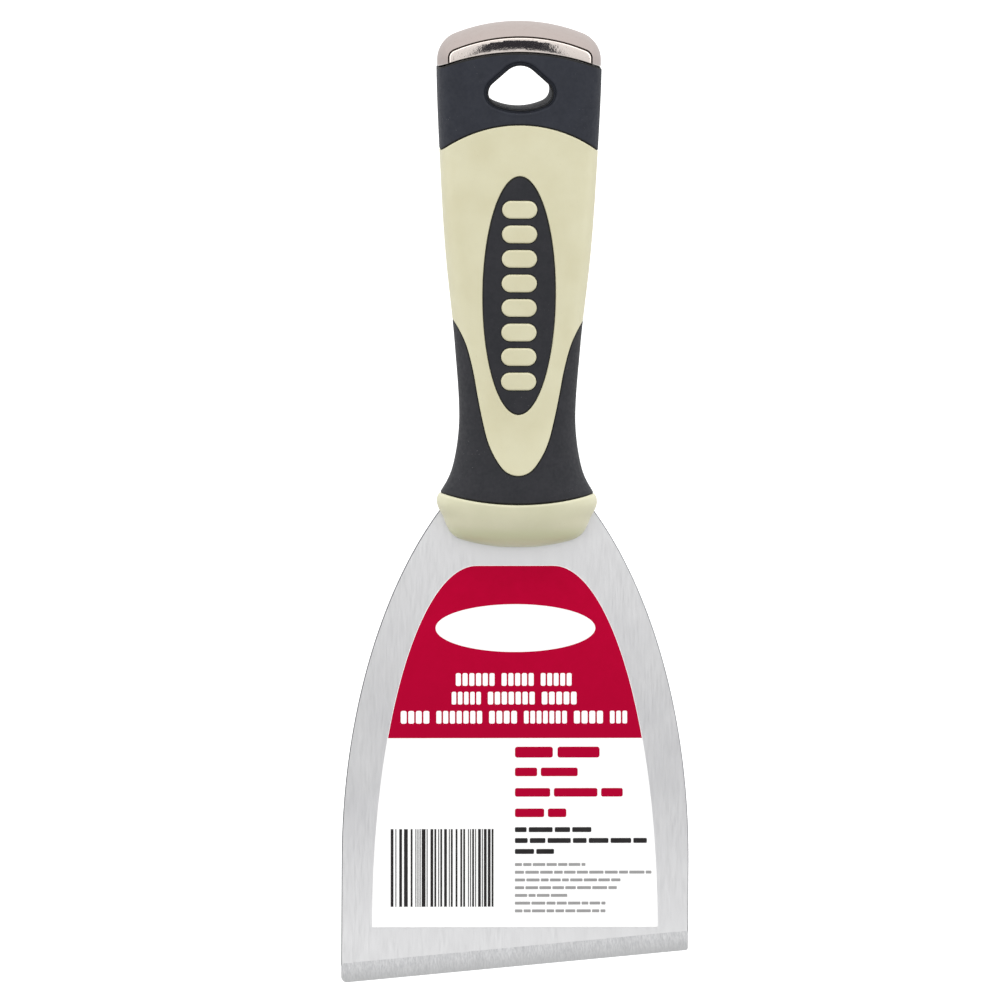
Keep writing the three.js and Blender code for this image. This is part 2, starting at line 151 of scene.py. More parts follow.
def catmull_rom(points: np.ndarray, knots: Knots, steps: int) -> np.ndarray:
    """Draws a smooth curve through points.

    Args:
        points: The points that the curve passes.
        knots: How it passes them.
        steps: How many steps lie between two points.

    Returns:
        The points along the curve.
    """
    ghosted = np.vstack((2 * points[0] - points[1], points, 2 * points[-1] - points[-2]))
    gaps = np.linalg.norm(np.diff(ghosted, axis=0), axis=1) ** knots.value
    share = np.linspace(0.0, 1.0, steps, endpoint=False)[:, None]
    pieces = []
    for index in range(1, len(ghosted) - 2):
        before, here, there, after = ghosted[index - 1 : index + 3]
        first, middle, last = gaps[index - 1 : index + 2]
        leaving = middle * ((here - before) / first - (there - before) / (first + middle)) + there - here
        arriving = middle * ((after - there) / last - (after - here) / (middle + last)) + there - here
        pieces.append(
            here
            + share * leaving
            + share**2 * (3 * (there - here) - 2 * leaving - arriving)
            + share**3 * (2 * (here - there) + leaving + arriving)
        )
    return np.vstack((*pieces, points[-1:]))


def rounded(corners: Sequence[Corner], steps: int = 10) -> np.ndarray:
    """Rounds the corners of a closed outline.

    Args:
        corners: The corners, anticlockwise in the front view.
        steps: How many steps each rounding has.

    Returns:
        The outline's points, as x and height.
    """
    outline = []
    for index, corner in enumerate(corners):
        here = np.array([corner.x, corner.height])
        if not corner.radius:
            outline.append(here)
            continue
        before, after = corners[index - 1], corners[(index + 1) % len(corners)]
        back = np.array([before.x, before.height]) - here
        on = np.array([after.x, after.height]) - here
        shorter = min(np.linalg.norm(back), np.linalg.norm(on))
        back /= np.linalg.norm(back)
        on /= np.linalg.norm(on)
        half_angle = math.acos(float(back @ on)) / 2
        run = min(corner.radius / math.tan(half_angle), shorter / 2)
        bisector = (back + on) / np.linalg.norm(back + on)
        centre = here + bisector * run / math.cos(half_angle)
        start, end = here + back * run - centre, here + on * run - centre
        turn = math.atan2(start[0] * end[1] - start[1] * end[0], float(start @ end))
        for angle in np.linspace(0.0, turn, steps + 1):
            cosine, sine = math.cos(angle), math.sin(angle)
            outline.append(centre + np.array([[cosine, -sine], [sine, cosine]]) @ start)
    return np.array(outline)


def flaring_side(
    lower: tuple[float, float], upper: tuple[float, float], reach_share: float, steps: int = 48
) -> np.ndarray:
    """Draws half of a flaring plate's side: an arc of a quarter ellipse, plumb at its lower end.

    Args:
        lower: The x and height of its lower end.
        upper: The x and height of its narrower upper end.
        reach_share: The ellipse's half-height as a share of the rise.
        steps: How many steps the side has.

    Returns:
        The points, from the lower end up.
    """
    angle = np.linspace(0.0, math.asin(1 / reach_share), steps + 1)
    fall = 1 - np.cos(angle)
    x = lower[0] - (lower[0] - upper[0]) * fall / fall[-1]
    return np.column_stack((x, lower[1] + (upper[1] - lower[1]) * reach_share * np.sin(angle)))


def inside(points: np.ndarray, loops: Sequence[np.ndarray]) -> np.ndarray:
    """Tells which points lie inside an area that is bounded by closed loops.

    Args:
        points: The points to test.
        loops: The outer loop, and the loops of any holes.

    Returns:
        One truth value a point.
    """
    across, up = points.T
    found = np.zeros(len(points), dtype=bool)
    for loop in loops:
        for (x0, z0), (x1, z1) in zip(loop, np.roll(loop, -1, axis=0)):
            if z0 != z1:
                straddles = (z0 > up) != (z1 > up)
                found ^= straddles & (across < x0 + (up - z0) * (x1 - x0) / (z1 - z0))
    return found


def triangulated(
    loops: Sequence[np.ndarray], spacing: float = 0.0, marks: Sequence[np.ndarray] = ()
) -> tuple[np.ndarray, Triangles]:
    """Fills an area with triangles.

    Args:
        loops: The closed loops that bound the area.
        spacing: The distance between the points that are added inside; 0 adds none.
        marks: Closed loops inside the area that edges have to follow.

    Returns:
        The points, and the triangles as rows of three point numbers.
    """
    lines = [*loops, *marks]
    border = np.vstack(lines)
    edges = []
    start = 0
    for line in lines:
        count = len(line)
        edges += [(start + index, start + (index + 1) % count) for index in range(count)]
        start += count
    points = border
    if spacing:
        tree = KDTree(len(border))
        for index, (x, z) in enumerate(border):
            tree.insert((x, z, 0.0), index)
        tree.balance()
        low, high = border.min(axis=0), border.max(axis=0)
        row_height = spacing * math.sqrt(0.75)
        grid = np.array([
            (x + spacing / 2 * (row % 2), z)
            for row, z in enumerate(np.arange(low[1], high[1], row_height))
            for x in np.arange(low[0], high[0], spacing)
        ])
        grid = grid[inside(grid, loops)]
        clear = [tree.find((x, z, 0.0))[2] > BORDER_CLEARANCE * spacing for x, z in grid]
        points = np.vstack((border, grid[clear]))
    spots = [Vector(point) for point in points]
    vertices, _, faces, *_ = delaunay_2d_cdt(spots, edges, [], 0, FLAT_WELD, True)
    flat = np.array([vertex[:] for vertex in vertices], dtype=float)
    triangles = np.array([face for face in faces if len(face) == 3])
    return flat, triangles[inside(flat[triangles].mean(axis=1), loops)]


# Meshes


@dataclass(frozen=True)
class Datum:
    """Where the shared frame's origin, the top of the hang hole, lies above the bolster's lip."""

    hang_height: float

    def to_frame(self, points: np.ndarray) -> np.ndarray:
        """Turns millimetres above the lip into metres in the frame."""
        return (points - np.array([0.0, 0.0, self.hang_height])) * MILLIMETRE


class Draft:
    """The points and faces of one piece, gathered patch by patch."""

    def __init__(self) -> None:
        """Starts with nothing in it."""
        self.points = np.zeros((0, 3))
        self.faces: list[tuple[int, ...]] = []
        self.paints: list[int] = []

    def add(self, points: np.ndarray, faces: Sequence[Sequence[int]], paint: int = 0) -> None:
        """Adds a patch.

        Args:
            points: The patch's points.
            faces: Its faces, as rows of numbers of those points.
            paint: The number of the finish that it takes.
        """
        start = len(self.points)
        self.points = np.vstack((self.points, points))
        self.faces += [tuple(int(start + index) for index in face) for face in faces]
        self.paints += [paint] * len(faces)

    def add_strip(self, rings: Sequence[np.ndarray], closed: bool = False, paint: int = 0) -> None:
        """Adds a skin over lines of equally many points.

        Args:
            rings: The lines.
            closed: Whether each line is a loop.
            paint: The number of the finish that the skin takes.
        """
        count = len(rings[0])
        last = count if closed else count - 1
        faces = [
            (low + index, low + (index + 1) % count, low + count + (index + 1) % count, low + count + index)
            for low in range(0, count * (len(rings) - 1), count)
            for index in range(last)
        ]
        self.add(np.vstack(rings), faces, paint)

    def mirror(self, axis: int) -> None:
        """Adds the mirror image of all there is.

        Args:
            axis: The number of the axis whose middle plane is the mirror.
        """
        scale = np.ones(3)
        scale[axis] = -1.0
        start = len(self.points)
        self.points = np.vstack((self.points, self.points * scale))
        self.faces += [tuple(start + index for index in reversed(face)) for face in self.faces]
        self.paints += self.paints

    def to_object(
        self, name: str, datum: Datum, materials: Sequence[bpy.types.Material], crease: float = SOFT_CREASE
    ) -> bpy.types.Object:
        """Makes the Blender object.

        Args:
            name: The piece's name.
            datum: The place of the frame's origin.
            materials: The finishes, in the order of the paint numbers.
            crease: The angle in degrees above which an edge is shaded sharp.

        Returns:
            The object, welded, with its faces turned outwards.
        """
        mesh = bpy.data.meshes.new(name)
        mesh.from_pydata(datum.to_frame(self.points).tolist(), [], self.faces)
        mesh.polygons.foreach_set("material_index", self.paints)
        work = bmesh.new()
        work.from_mesh(mesh)
        bmesh.ops.remove_doubles(work, verts=work.verts, dist=WELD_DISTANCE)
        bmesh.ops.dissolve_degenerate(work, dist=SLIVER_LENGTH, edges=work.edges)
        bmesh.ops.recalc_face_normals(work, faces=work.faces)
        work.to_mesh(mesh)
        work.free()
        for material in materials:
            mesh.materials.append(material)
        mesh.shade_smooth()
        mesh.set_sharp_from_angle(angle=math.radians(crease))
        piece = bpy.data.objects.new(name, mesh)
        bpy.context.scene.collection.objects.link(piece)
        return piece


def carve(piece: bpy.types.Object, cutter: bpy.types.Object, crease: float) -> None:
    """Takes one solid out of another and removes the cutter.

    Args:
        piece: The object that is cut.
        cutter: The object that is taken out of it.
        crease: The angle in degrees above which an edge is shaded sharp.
    """
    modifier = piece.modifiers.new("carve", "BOOLEAN")
    modifier.operation = "DIFFERENCE"
    modifier.solver = "EXACT"
    modifier.object = cutter
    graph = bpy.context.evaluated_depsgraph_get()
    cut = bpy.data.meshes.new_from_object(piece.evaluated_get(graph))
    piece.modifiers.clear()
    piece.data = cut
    cut.shade_smooth()
    cut.set_sharp_from_angle(angle=math.radians(crease))
    bpy.data.objects.remove(cutter)


def settle(piece: bpy.types.Object, slot: str, *nodes: str) -> None:
    """Lets a finished piece ride on the tool.

    Args:
        piece: The piece.
        slot: The record's material slot that it takes its finish from; not used.
        nodes: The CAD nodes that it stands for.
    """
    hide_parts(*nodes)
    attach(piece, "root")


# Finishes


def linear(colour: Colour) -> ShaderColour:
    """Turns a screen colour of 0 to 255 into the shader's own numbers, by the sRGB curve."""
    red, green, blue = (((v / 255 + 0.055) / 1.055) ** 2.4 if v > 10 else v / 255 / 12.92 for v in colour)
    return (red, green, blue, 1.0)


def grey(value: float) -> ShaderColour:
    """Gives an even grey in the shader's own numbers."""
    return (value, value, value, 1.0)


@dataclass(frozen=True)
class LevelTone:
    """A colour that comes in by height: none at the first z, in the frame's metres, and all at the last."""

    first: float
    last: float
    colour: Colour
    share: float = 1.0


@dataclass(frozen=True)
class Patches:
    """A noise over the surface: its size in millimetres, and the values where patches begin and are full."""

    size: float
    detail: float
    low: float
    high: float
    soft: float = 0.5


@dataclass(frozen=True)
class Relief:
    """A layer of bumps: a noise's size, and the bumps' height in millimetres."""

    size: float
    detail: float
    height: float
    soft: float = 0.5


class NodeSheet:
    """A material's node tree, with short calls that add nodes and join them."""

    def __init__(self, name: str) -> None:
        """Makes the material with a bare principled shader.

        Args:
            name: The material's name.
        """
        self.material = bpy.data.materials.new(name)
        self.material.use_nodes = True
        self.tree = self.material.node_tree
        self.tree.nodes.clear()
        output = self.tree.nodes.new("ShaderNodeOutputMaterial")
        self.shader = self.tree.nodes.new("ShaderNodeBsdfPrincipled")
        self.tree.links.new(self.shader.outputs[0], output.inputs[0])
        self.place = self.tree.nodes.new("ShaderNodeTexCoord").outputs["Object"]

    def add(self, kind: str, inputs: dict[str | int, object], **settings: object) -> bpy.types.Node:
        """Adds a node.

        Args:
            kind: The node's type.
            inputs: What goes into its sockets: a number, or another node's output.
            settings: Its own settings.

        Returns:
            The node.
        """
        node = self.tree.nodes.new(kind)
        for key, value in settings.items():
            setattr(node, key, value)
        for key, value in inputs.items():
            self.feed(node.inputs[key], value)
        return node

    def feed(self, socket: bpy.types.NodeSocket, value: object) -> None:
        """Fills a socket.

        Args:
            socket: The socket.
            value: The number that it is set to, or the other node's output that is joined to it.
        """
        if isinstance(value, bpy.types.NodeSocket):
            self.tree.links.new(value, socket)
        else:
            socket.default_value = value

    def stretched(self, scale: tuple[float, float, float], turn: float = 0.0) -> bpy.types.NodeSocket:
        """Gives the object's coordinates in other units along each axis.

        Args:
            scale: How many units a metre has along x, y and z.
            turn: The angle in degrees that the coordinates are turned by about y.

        Returns:
            The coordinates.
        """
        turned = self.add(
            "ShaderNodeMapping",
            {"Vector": self.place, "Rotation": (0.0, math.radians(turn), 0.0)},
        )
        return self.add("ShaderNodeMapping", {"Vector": turned.outputs[0], "Scale": scale}).outputs[0]

    def noise(
        self, size: float, detail: float = 2.0, place: bpy.types.NodeSocket | None = None, soft: float = 0.5
    ) -> bpy.types.NodeSocket:
        """Adds a noise.

        Args:
            size: The size of its patches in millimetres, or in units of the given coordinates.
            detail: How many finer layers it has.
            place: Other coordinates than the object's own.
            soft: How strong the finer layers are.

        Returns:
            The noise, from 0 to 1.
        """
        scale = 1 / size if place else 1 / (size * MILLIMETRE)
        inputs = {"Vector": place or self.place, "Scale": scale, "Detail": detail, "Roughness": soft}
        return self.add("ShaderNodeTexNoise", inputs).outputs[0]

    def span(
        self, value: bpy.types.NodeSocket, low: float, high: float, first: float, last: float
    ) -> bpy.types.NodeSocket:
        """Maps a value from one range to another, and holds it there.

        Args:
            value: The value.
            low: The value that gives first.
            high: The value that gives last.
            first: The result at low.
            last: The result at high.

        Returns:
            The result.
        """
        inputs = {"Value": value, "From Min": low, "From Max": high, "To Min": first, "To Max": last}
        return self.add("ShaderNodeMapRange", inputs).outputs[0]

    def patches(
        self, patches: Patches, between: tuple[float, float] = (0.0, 1.0)
    ) -> bpy.types.NodeSocket:
        """Lays patches over the surface.

        Args:
            patches: The patches.
            between: The results outside the patches and where they are full.

        Returns:
            The result.
        """
        noise = self.noise(patches.size, patches.detail, soft=patches.soft)
        return self.span(noise, patches.low, patches.high, *between)

    def layer(self, relief: Relief) -> tuple[bpy.types.NodeSocket, float]:
        """Gives a layer of bumps by its noise and its height."""
        return self.noise(relief.size, relief.detail, soft=relief.soft), relief.height

    def blend(self, share: bpy.types.NodeSocket, first: object, second: object) -> bpy.types.NodeSocket:
        """Mixes two colours.

        Args:
            share: How much of the second colour there is.
            first: A colour in the shader's own numbers, or another node's output.
            second: The same for the second colour.

        Returns:
            The mixed colour.
        """
        node = self.add("ShaderNodeMix", {}, data_type="RGBA")
        self.feed(node.inputs[MIX_SHARE], share)
        self.feed(node.inputs[MIX_FIRST], first)
        self.feed(node.inputs[MIX_SECOND], second)
        return node.outputs[MIX_RESULT]

    def levelled(
        self, base: bpy.types.NodeSocket, tones: Sequence[LevelTone], turn: float = 0.0
    ) -> bpy.types.NodeSocket:
        """Tones a colour by height.

        Args:
            base: The colour.
            tones: The tones, each laid over the ones before it.
            turn: The angle in degrees by which the levels rise to the right.

        Returns:
            The toned colour.
        """
        if not tones:
            return base
        height = self.add("ShaderNodeSeparateXYZ", {0: self.stretched((1.0, 1.0, 1.0), turn)}).outputs["Z"]
        for tone in tones:
            share = self.span(height, tone.first, tone.last, 0.0, tone.share)
            base = self.blend(share, base, linear(tone.colour))
        return base

    def bump(self, *layers: tuple[bpy.types.NodeSocket, float]) -> None:
        """Lays bumps over the surface.

        Args:
            layers: Each layer's heights from 0 to 1, and the height in millimetres that 1 stands for.
        """
        normal = None
        for heights, depth in layers:
            inputs = {"Height": heights, "Distance": depth * MILLIMETRE, "Strength": 1.0}
            if normal:
                inputs["Normal"] = normal
            normal = self.add("ShaderNodeBump", inputs).outputs[0]
        self.feed(self.shader.inputs["Normal"], normal)

    def set(self, **values: object) -> None:
        """Feeds the shader's sockets, whose names are given with underscores for spaces."""
        for key, value in values.items():
            self.feed(self.shader.inputs[key.replace("_", " ")], value)


class Finish(Protocol):
    """Anything that makes one material."""

    def material(self) -> bpy.types.Material:
        """Makes the finish and gives its material."""


@dataclass(frozen=True)
class CreamPlastic:
    """Hard cream plastic with the fine satin texture of a mould; it lets a little light in."""

    name: str = "cream_plastic"
    colour: Colour = (214, 210, 179)
    clouded: Colour = (208, 203, 170)
    speck: Colour = (188, 180, 146)
    tones: tuple[LevelTone, ...] = ()
    clouds: Patches = Patches(9.0, 4.0, 0.35, 0.68)
    specks: Patches = Patches(0.35, 1.0, 0.72, 0.8)
    speck_share: float = 0.35
    uneven: Patches = Patches(1.6, 3.0, 0.3, 0.7)
    roughness: tuple[float, float] = (0.36, 0.5)
    relief: tuple[Relief, ...] = (Relief(0.22, 3.0, 0.012), Relief(5.0, 2.0, 0.03))
    light_share: float = 0.05
    light_depth: float = 0.8
    light_reach: tuple[float, float, float] = (1.0, 0.95, 0.7)
    refraction: float = 1.49

    def material(self) -> bpy.types.Material:
        """Makes the finish.

        Returns:
            Its material.
        """
        sheet = NodeSheet(self.name)
        base = sheet.blend(sheet.patches(self.clouds), linear(self.colour), linear(self.clouded))
        specks = sheet.patches(self.specks, (0.0, self.speck_share))
        sheet.set(
            Base_Color=sheet.levelled(sheet.blend(specks, base, linear(self.speck)), self.tones),
            Roughness=sheet.patches(self.uneven, self.roughness),
            Subsurface_Weight=self.light_share,
            Subsurface_Radius=self.light_reach,
            Subsurface_Scale=self.light_depth * MILLIMETRE,
            IOR=self.refraction,
        )
        sheet.bump(*map(sheet.layer, self.relief))
        return sheet.material


@dataclass(frozen=True)
class SoftRubber:
    """Black soft moulding, matt, with specks of dust and rubbed spots."""

    name: str = "soft_black"
    colour: Colour = (33, 34, 39)
    worn: Colour = (40, 40, 45)
    dust: Colour = (128, 128, 130)
    rubbed: Patches = Patches(4.0, 5.0, 0.38, 0.7, 0.65)
    specks: Patches = Patches(0.42, 2.0, 0.7, 0.76, 0.7)
    speck_share: float = 0.7
    dusty: Patches = Patches(7.0, 2.0, 0.46, 0.6)
    uneven: Patches = Patches(0.8, 3.0, 0.3, 0.7)
    roughness: tuple[float, float] = (0.56, 0.74)
    relief: tuple[Relief, ...] = (Relief(0.16, 3.0, 0.02, 0.6), Relief(1.1, 2.0, 0.02))
    gloss: float = 0.32
    refraction: float = 1.5

    def material(self) -> bpy.types.Material:
        """Makes the finish.

        Returns:
            Its material.
        """
        sheet = NodeSheet(self.name)
        base = sheet.blend(sheet.patches(self.rubbed), linear(self.colour), linear(self.worn))
        dusted = sheet.blend(sheet.patches(self.dusty), base, linear(self.dust))
        sheet.set(
            Base_Color=sheet.blend(sheet.patches(self.specks, (0.0, self.speck_share)), base, dusted),
            Roughness=sheet.patches(self.uneven, self.roughness),
            Specular_IOR_Level=self.gloss,
            IOR=self.refraction,
        )
        sheet.bump(*map(sheet.layer, self.relief))
        return sheet.material


@dataclass(frozen=True)
class SatinSteel:
    """Rolled and lacquered steel sheet with a faint lengthwise grain, with painted reflections that make
    both ends brighter.
    """

    colour: Colour = (228, 228, 229)
    shade: Colour = (220, 220, 222)
    # Painted reflection: lighter tones over the foot of the plate and over its head below the bolster.
    painted_bright_ends: tuple[LevelTone, ...] = (
        LevelTone(-0.16, -0.192, (246, 246, 247)),
        LevelTone(-0.138, -0.103, (240, 240, 241)),
    )
    clouds: Patches = Patches(14.0, 4.0, 0.35, 0.7)
    grain_scale: tuple[float, float, float] = (5200.0, 5200.0, 260.0)
    grain_detail: float = 3.0
    grain_span: tuple[float, float] = (0.25, 0.75)
    grain_height: float = 0.002
    roughness: tuple[float, float] = (0.34, 0.46)
    fine: Relief = Relief(0.5, 3.0, 0.002)

    def material(self) -> bpy.types.Material:
        """Makes the finish.

        Returns:
            Its material.
        """
        sheet = NodeSheet("satin_steel")
        grain = sheet.noise(1.0, self.grain_detail, sheet.stretched(self.grain_scale))
        base = sheet.blend(sheet.patches(self.clouds), linear(self.colour), linear(self.shade))
        sheet.set(
            Base_Color=sheet.levelled(base, self.painted_bright_ends),
            Metallic=1.0,
            Roughness=sheet.span(grain, *self.grain_span, *self.roughness),
        )
        sheet.bump((grain, self.grain_height), sheet.layer(self.fine))
        return sheet.material


@dataclass(frozen=True)
class ShearedSteel:
    """The blade's cut edges: dull, dark and torn by the shears."""

    colour: Colour = (118, 119, 122)
    shade: Colour = (84, 85, 88)
    tear_size: float = 0.25
    tear_detail: float = 4.0
    tear_soft: float = 0.7
    tear_span: tuple[float, float] = (0.3, 0.7)
    tear_height: float = 0.01
    roughness: float = 0.5

    def material(self) -> bpy.types.Material:
        """Makes the finish.

        Returns:
            Its material.
        """
        sheet = NodeSheet("sheared_steel")
        torn = sheet.noise(self.tear_size, self.tear_detail, soft=self.tear_soft)
        tone = sheet.span(torn, *self.tear_span, 0.0, 1.0)
        sheet.set(
            Base_Color=sheet.blend(tone, linear(self.colour), linear(self.shade)),
            Metallic=1.0,
            Roughness=self.roughness,
        )
        sheet.bump((torn, self.tear_height))
        return sheet.material


@dataclass(frozen=True)
class GroundSteel:
    """The ground bevel: coarse wheel marks square to the edge, over broader waves."""

    colour: Colour = (253, 253, 254)
    shade: Colour = (223, 224, 226)
    slant: float = 5.6
    # Painted shade: the bevel is blended towards a darker grey along the cutting edge.
    edge: tuple[LevelTone, ...] = (LevelTone(-0.1945, -0.1972, (205, 206, 206), 0.6),)
    mark_scale: tuple[float, float, float] = (3200.0, 3200.0, 60.0)
    mark_detail: float = 4.0
    mark_soft: float = 0.7
    mark_span: tuple[float, float] = (0.34, 0.66)
    mark_height: float = 0.014
    wave_scale: tuple[float, float, float] = (500.0, 500.0, 30.0)
    wave_span: tuple[float, float] = (0.3, 0.7)
    wave_height: float = 0.012
    roughness: tuple[float, float] = (0.42, 0.55)

    def material(self) -> bpy.types.Material:
        """Makes the finish.

        Returns:
            Its material.
        """
        sheet = NodeSheet("ground_steel")
        place = sheet.stretched(self.mark_scale, self.slant)
        marks = sheet.noise(1.0, self.mark_detail, place, self.mark_soft)
        waves = sheet.noise(1.0, place=sheet.stretched(self.wave_scale, self.slant))
        tone = sheet.span(marks, *self.mark_span, 0.0, 1.0)
        base = sheet.blend(tone, linear(self.colour), linear(self.shade))
        sheet.set(
            Base_Color=sheet.levelled(base, self.edge, self.slant),
            Metallic=1.0,
            Roughness=sheet.span(waves, *self.wave_span, *self.roughness),
        )
        sheet.bump((marks, self.mark_height), (waves, self.wave_height))
        return sheet.material


@dataclass(frozen=True)
class PlatedMetal:
    """Nickel plating, bright on the walls and satin on the striking face."""

    name: str = "plated_bright"
    colour: Colour = (238, 228, 221)
    pitted: Colour = (150, 132, 122)
    smear: Patches = Patches(1.8, 5.0, 0.3, 0.7, 0.6)
    roughness: tuple[float, float] = (0.04, 0.1)
    pits: Patches = Patches(0.5, 3.0, 0.62, 0.72, 0.7)
    pit_share: float = 0.85
    ripple: Relief = Relief(2.2, 3.0, 0.003)
    grit: Relief = Relief(0.5, 2.0, 0.009, 0.6)

    def material(self) -> bpy.types.Material:
        """Makes the finish.

        Returns:
            Its material.
        """
        sheet = NodeSheet(self.name)
        pits = sheet.patches(self.pits, (0.0, self.pit_share))
        sheet.set(
            Base_Color=sheet.blend(pits, linear(self.colour), linear(self.pitted)),
            Metallic=1.0,
            Roughness=sheet.patches(self.smear, self.roughness),
        )
        sheet.bump(sheet.layer(self.ripple), sheet.layer(self.grit))
        return sheet.material


class Ink(IntEnum):
    """What covers a spot of the sticker; the numbers are its paint numbers."""

    PAPER = 0
    RED = 1
    BLACK = 2
    GREY = 3


@dataclass(frozen=True)
class PrintedPaper:
    """Coated paper, bare or under an even coat of ink."""

    name: str
    colour: Colour
    mottle: Colour
    gloss: float = 0.35
    tones: tuple[LevelTone, ...] = ()
    mottling: Patches = Patches(2.5, 5.0, 0.3, 0.72, 0.65)
    uneven: Patches = Patches(1.2, 3.0, 0.3, 0.7)
    roughness: tuple[float, float] = (0.42, 0.55)
    relief: tuple[Relief, ...] = (Relief(0.25, 4.0, 0.006, 0.7), Relief(7.0, 2.0, 0.03))

    def material(self) -> bpy.types.Material:
        """Makes the finish.

        Returns:
            Its material.
        """
        sheet = NodeSheet(self.name)
        base = sheet.blend(sheet.patches(self.mottling), linear(self.colour), linear(self.mottle))
        sheet.set(
            Base_Color=sheet.levelled(base, self.tones),
            Roughness=sheet.patches(self.uneven, self.roughness),
            Specular_IOR_Level=self.gloss,
        )
        sheet.bump(*map(sheet.layer, self.relief))
        return sheet.material


def made(finish: Finish) -> Any:
    """Fills a field with a finish's material, which is made when the set is."""
    return field(default_factory=finish.material)


@dataclass
class FinishSet:
    """Every material of the tool, made once."""

    cream: bpy.types.Material = made(CreamPlastic())
    bolster: bpy.types.Material = made(CreamPlastic(
        name="cream_bolster_shaded",
        colour=(212, 209, 181),
        clouded=(205, 203, 173),
        # Painted shade and light: the lower half is painted darker and greener where the dish turns down and
        # against the red sticker's bounce, and the lip is painted lighter again for the light thrown up from
        # the blade.
        tones=(LevelTone(-0.1013, -0.103, (204, 205, 170)), LevelTone(-0.1042, -0.106, (222, 231, 202))),
    ))
    rubber: bpy.types.Material = made(SoftRubber())
    collar: bpy.types.Material = made(SoftRubber(name="soft_collar", colour=(35, 38, 47), worn=(41, 44, 53)))
    # Painted shade: a near-black rubber for the rounded edges along the soft fields' borders and round the
    # hang hole, standing in for the shadow in those joints.
    seam: bpy.types.Material = made(
        SoftRubber(name="soft_seam_shade", colour=(18, 18, 19), worn=(24, 24, 25), dust=(50, 50, 51))
    )
    steel: bpy.types.Material = made(SatinSteel())
    ground: bpy.types.Material = made(GroundSteel())
    sheared: bpy.types.Material = made(ShearedSteel())
    bright: bpy.types.Material = made(PlatedMetal())
    satin: bpy.types.Material = made(PlatedMetal(
        name="plated_satin",
        colour=(186, 174, 169),
        pitted=(160, 148, 142),
        roughness=(0.34, 0.46),
        ripple=Relief(2.2, 3.0, 0.006),
        grit=Relief(0.5, 2.0, 0.0015, 0.6),
    ))
    tarnish: bpy.types.Material = made(PlatedMetal(
        name="plated_tarnish",
        colour=(74, 62, 54),
        pitted=(46, 38, 34),
        roughness=(0.3, 0.5),
        ripple=Relief(2.2, 3.0, 0.01),
        grit=Relief(0.5, 2.0, 0.01, 0.6),
    ))
    paper: bpy.types.Material = made(PrintedPaper("bare_paper", (255, 255, 255), (252, 252, 251)))
    red: bpy.types.Material = made(PrintedPaper(
        name="red_ink",
        colour=(183, 0, 50),
        mottle=(176, 0, 46),
        gloss=0.04,
        # Painted shade: the red panel is darkened towards its foot.
        tones=(LevelTone(-0.122, -0.146, (172, 0, 47), 0.85),),
    ))
    black: bpy.types.Material = made(PrintedPaper("black_ink", (36, 34, 35), (48, 46, 47), gloss=0.1))
    grey: bpy.types.Material = made(PrintedPaper("grey_ink", (150, 149, 149), (160, 159, 159)))


# The handle's form


@dataclass(frozen=True)
class Station:
    """One level section of the handle: a rounded oblong, squarer as its squareness grows."""

    height: float
    half_width: float
    half_depth: float
    squareness: float


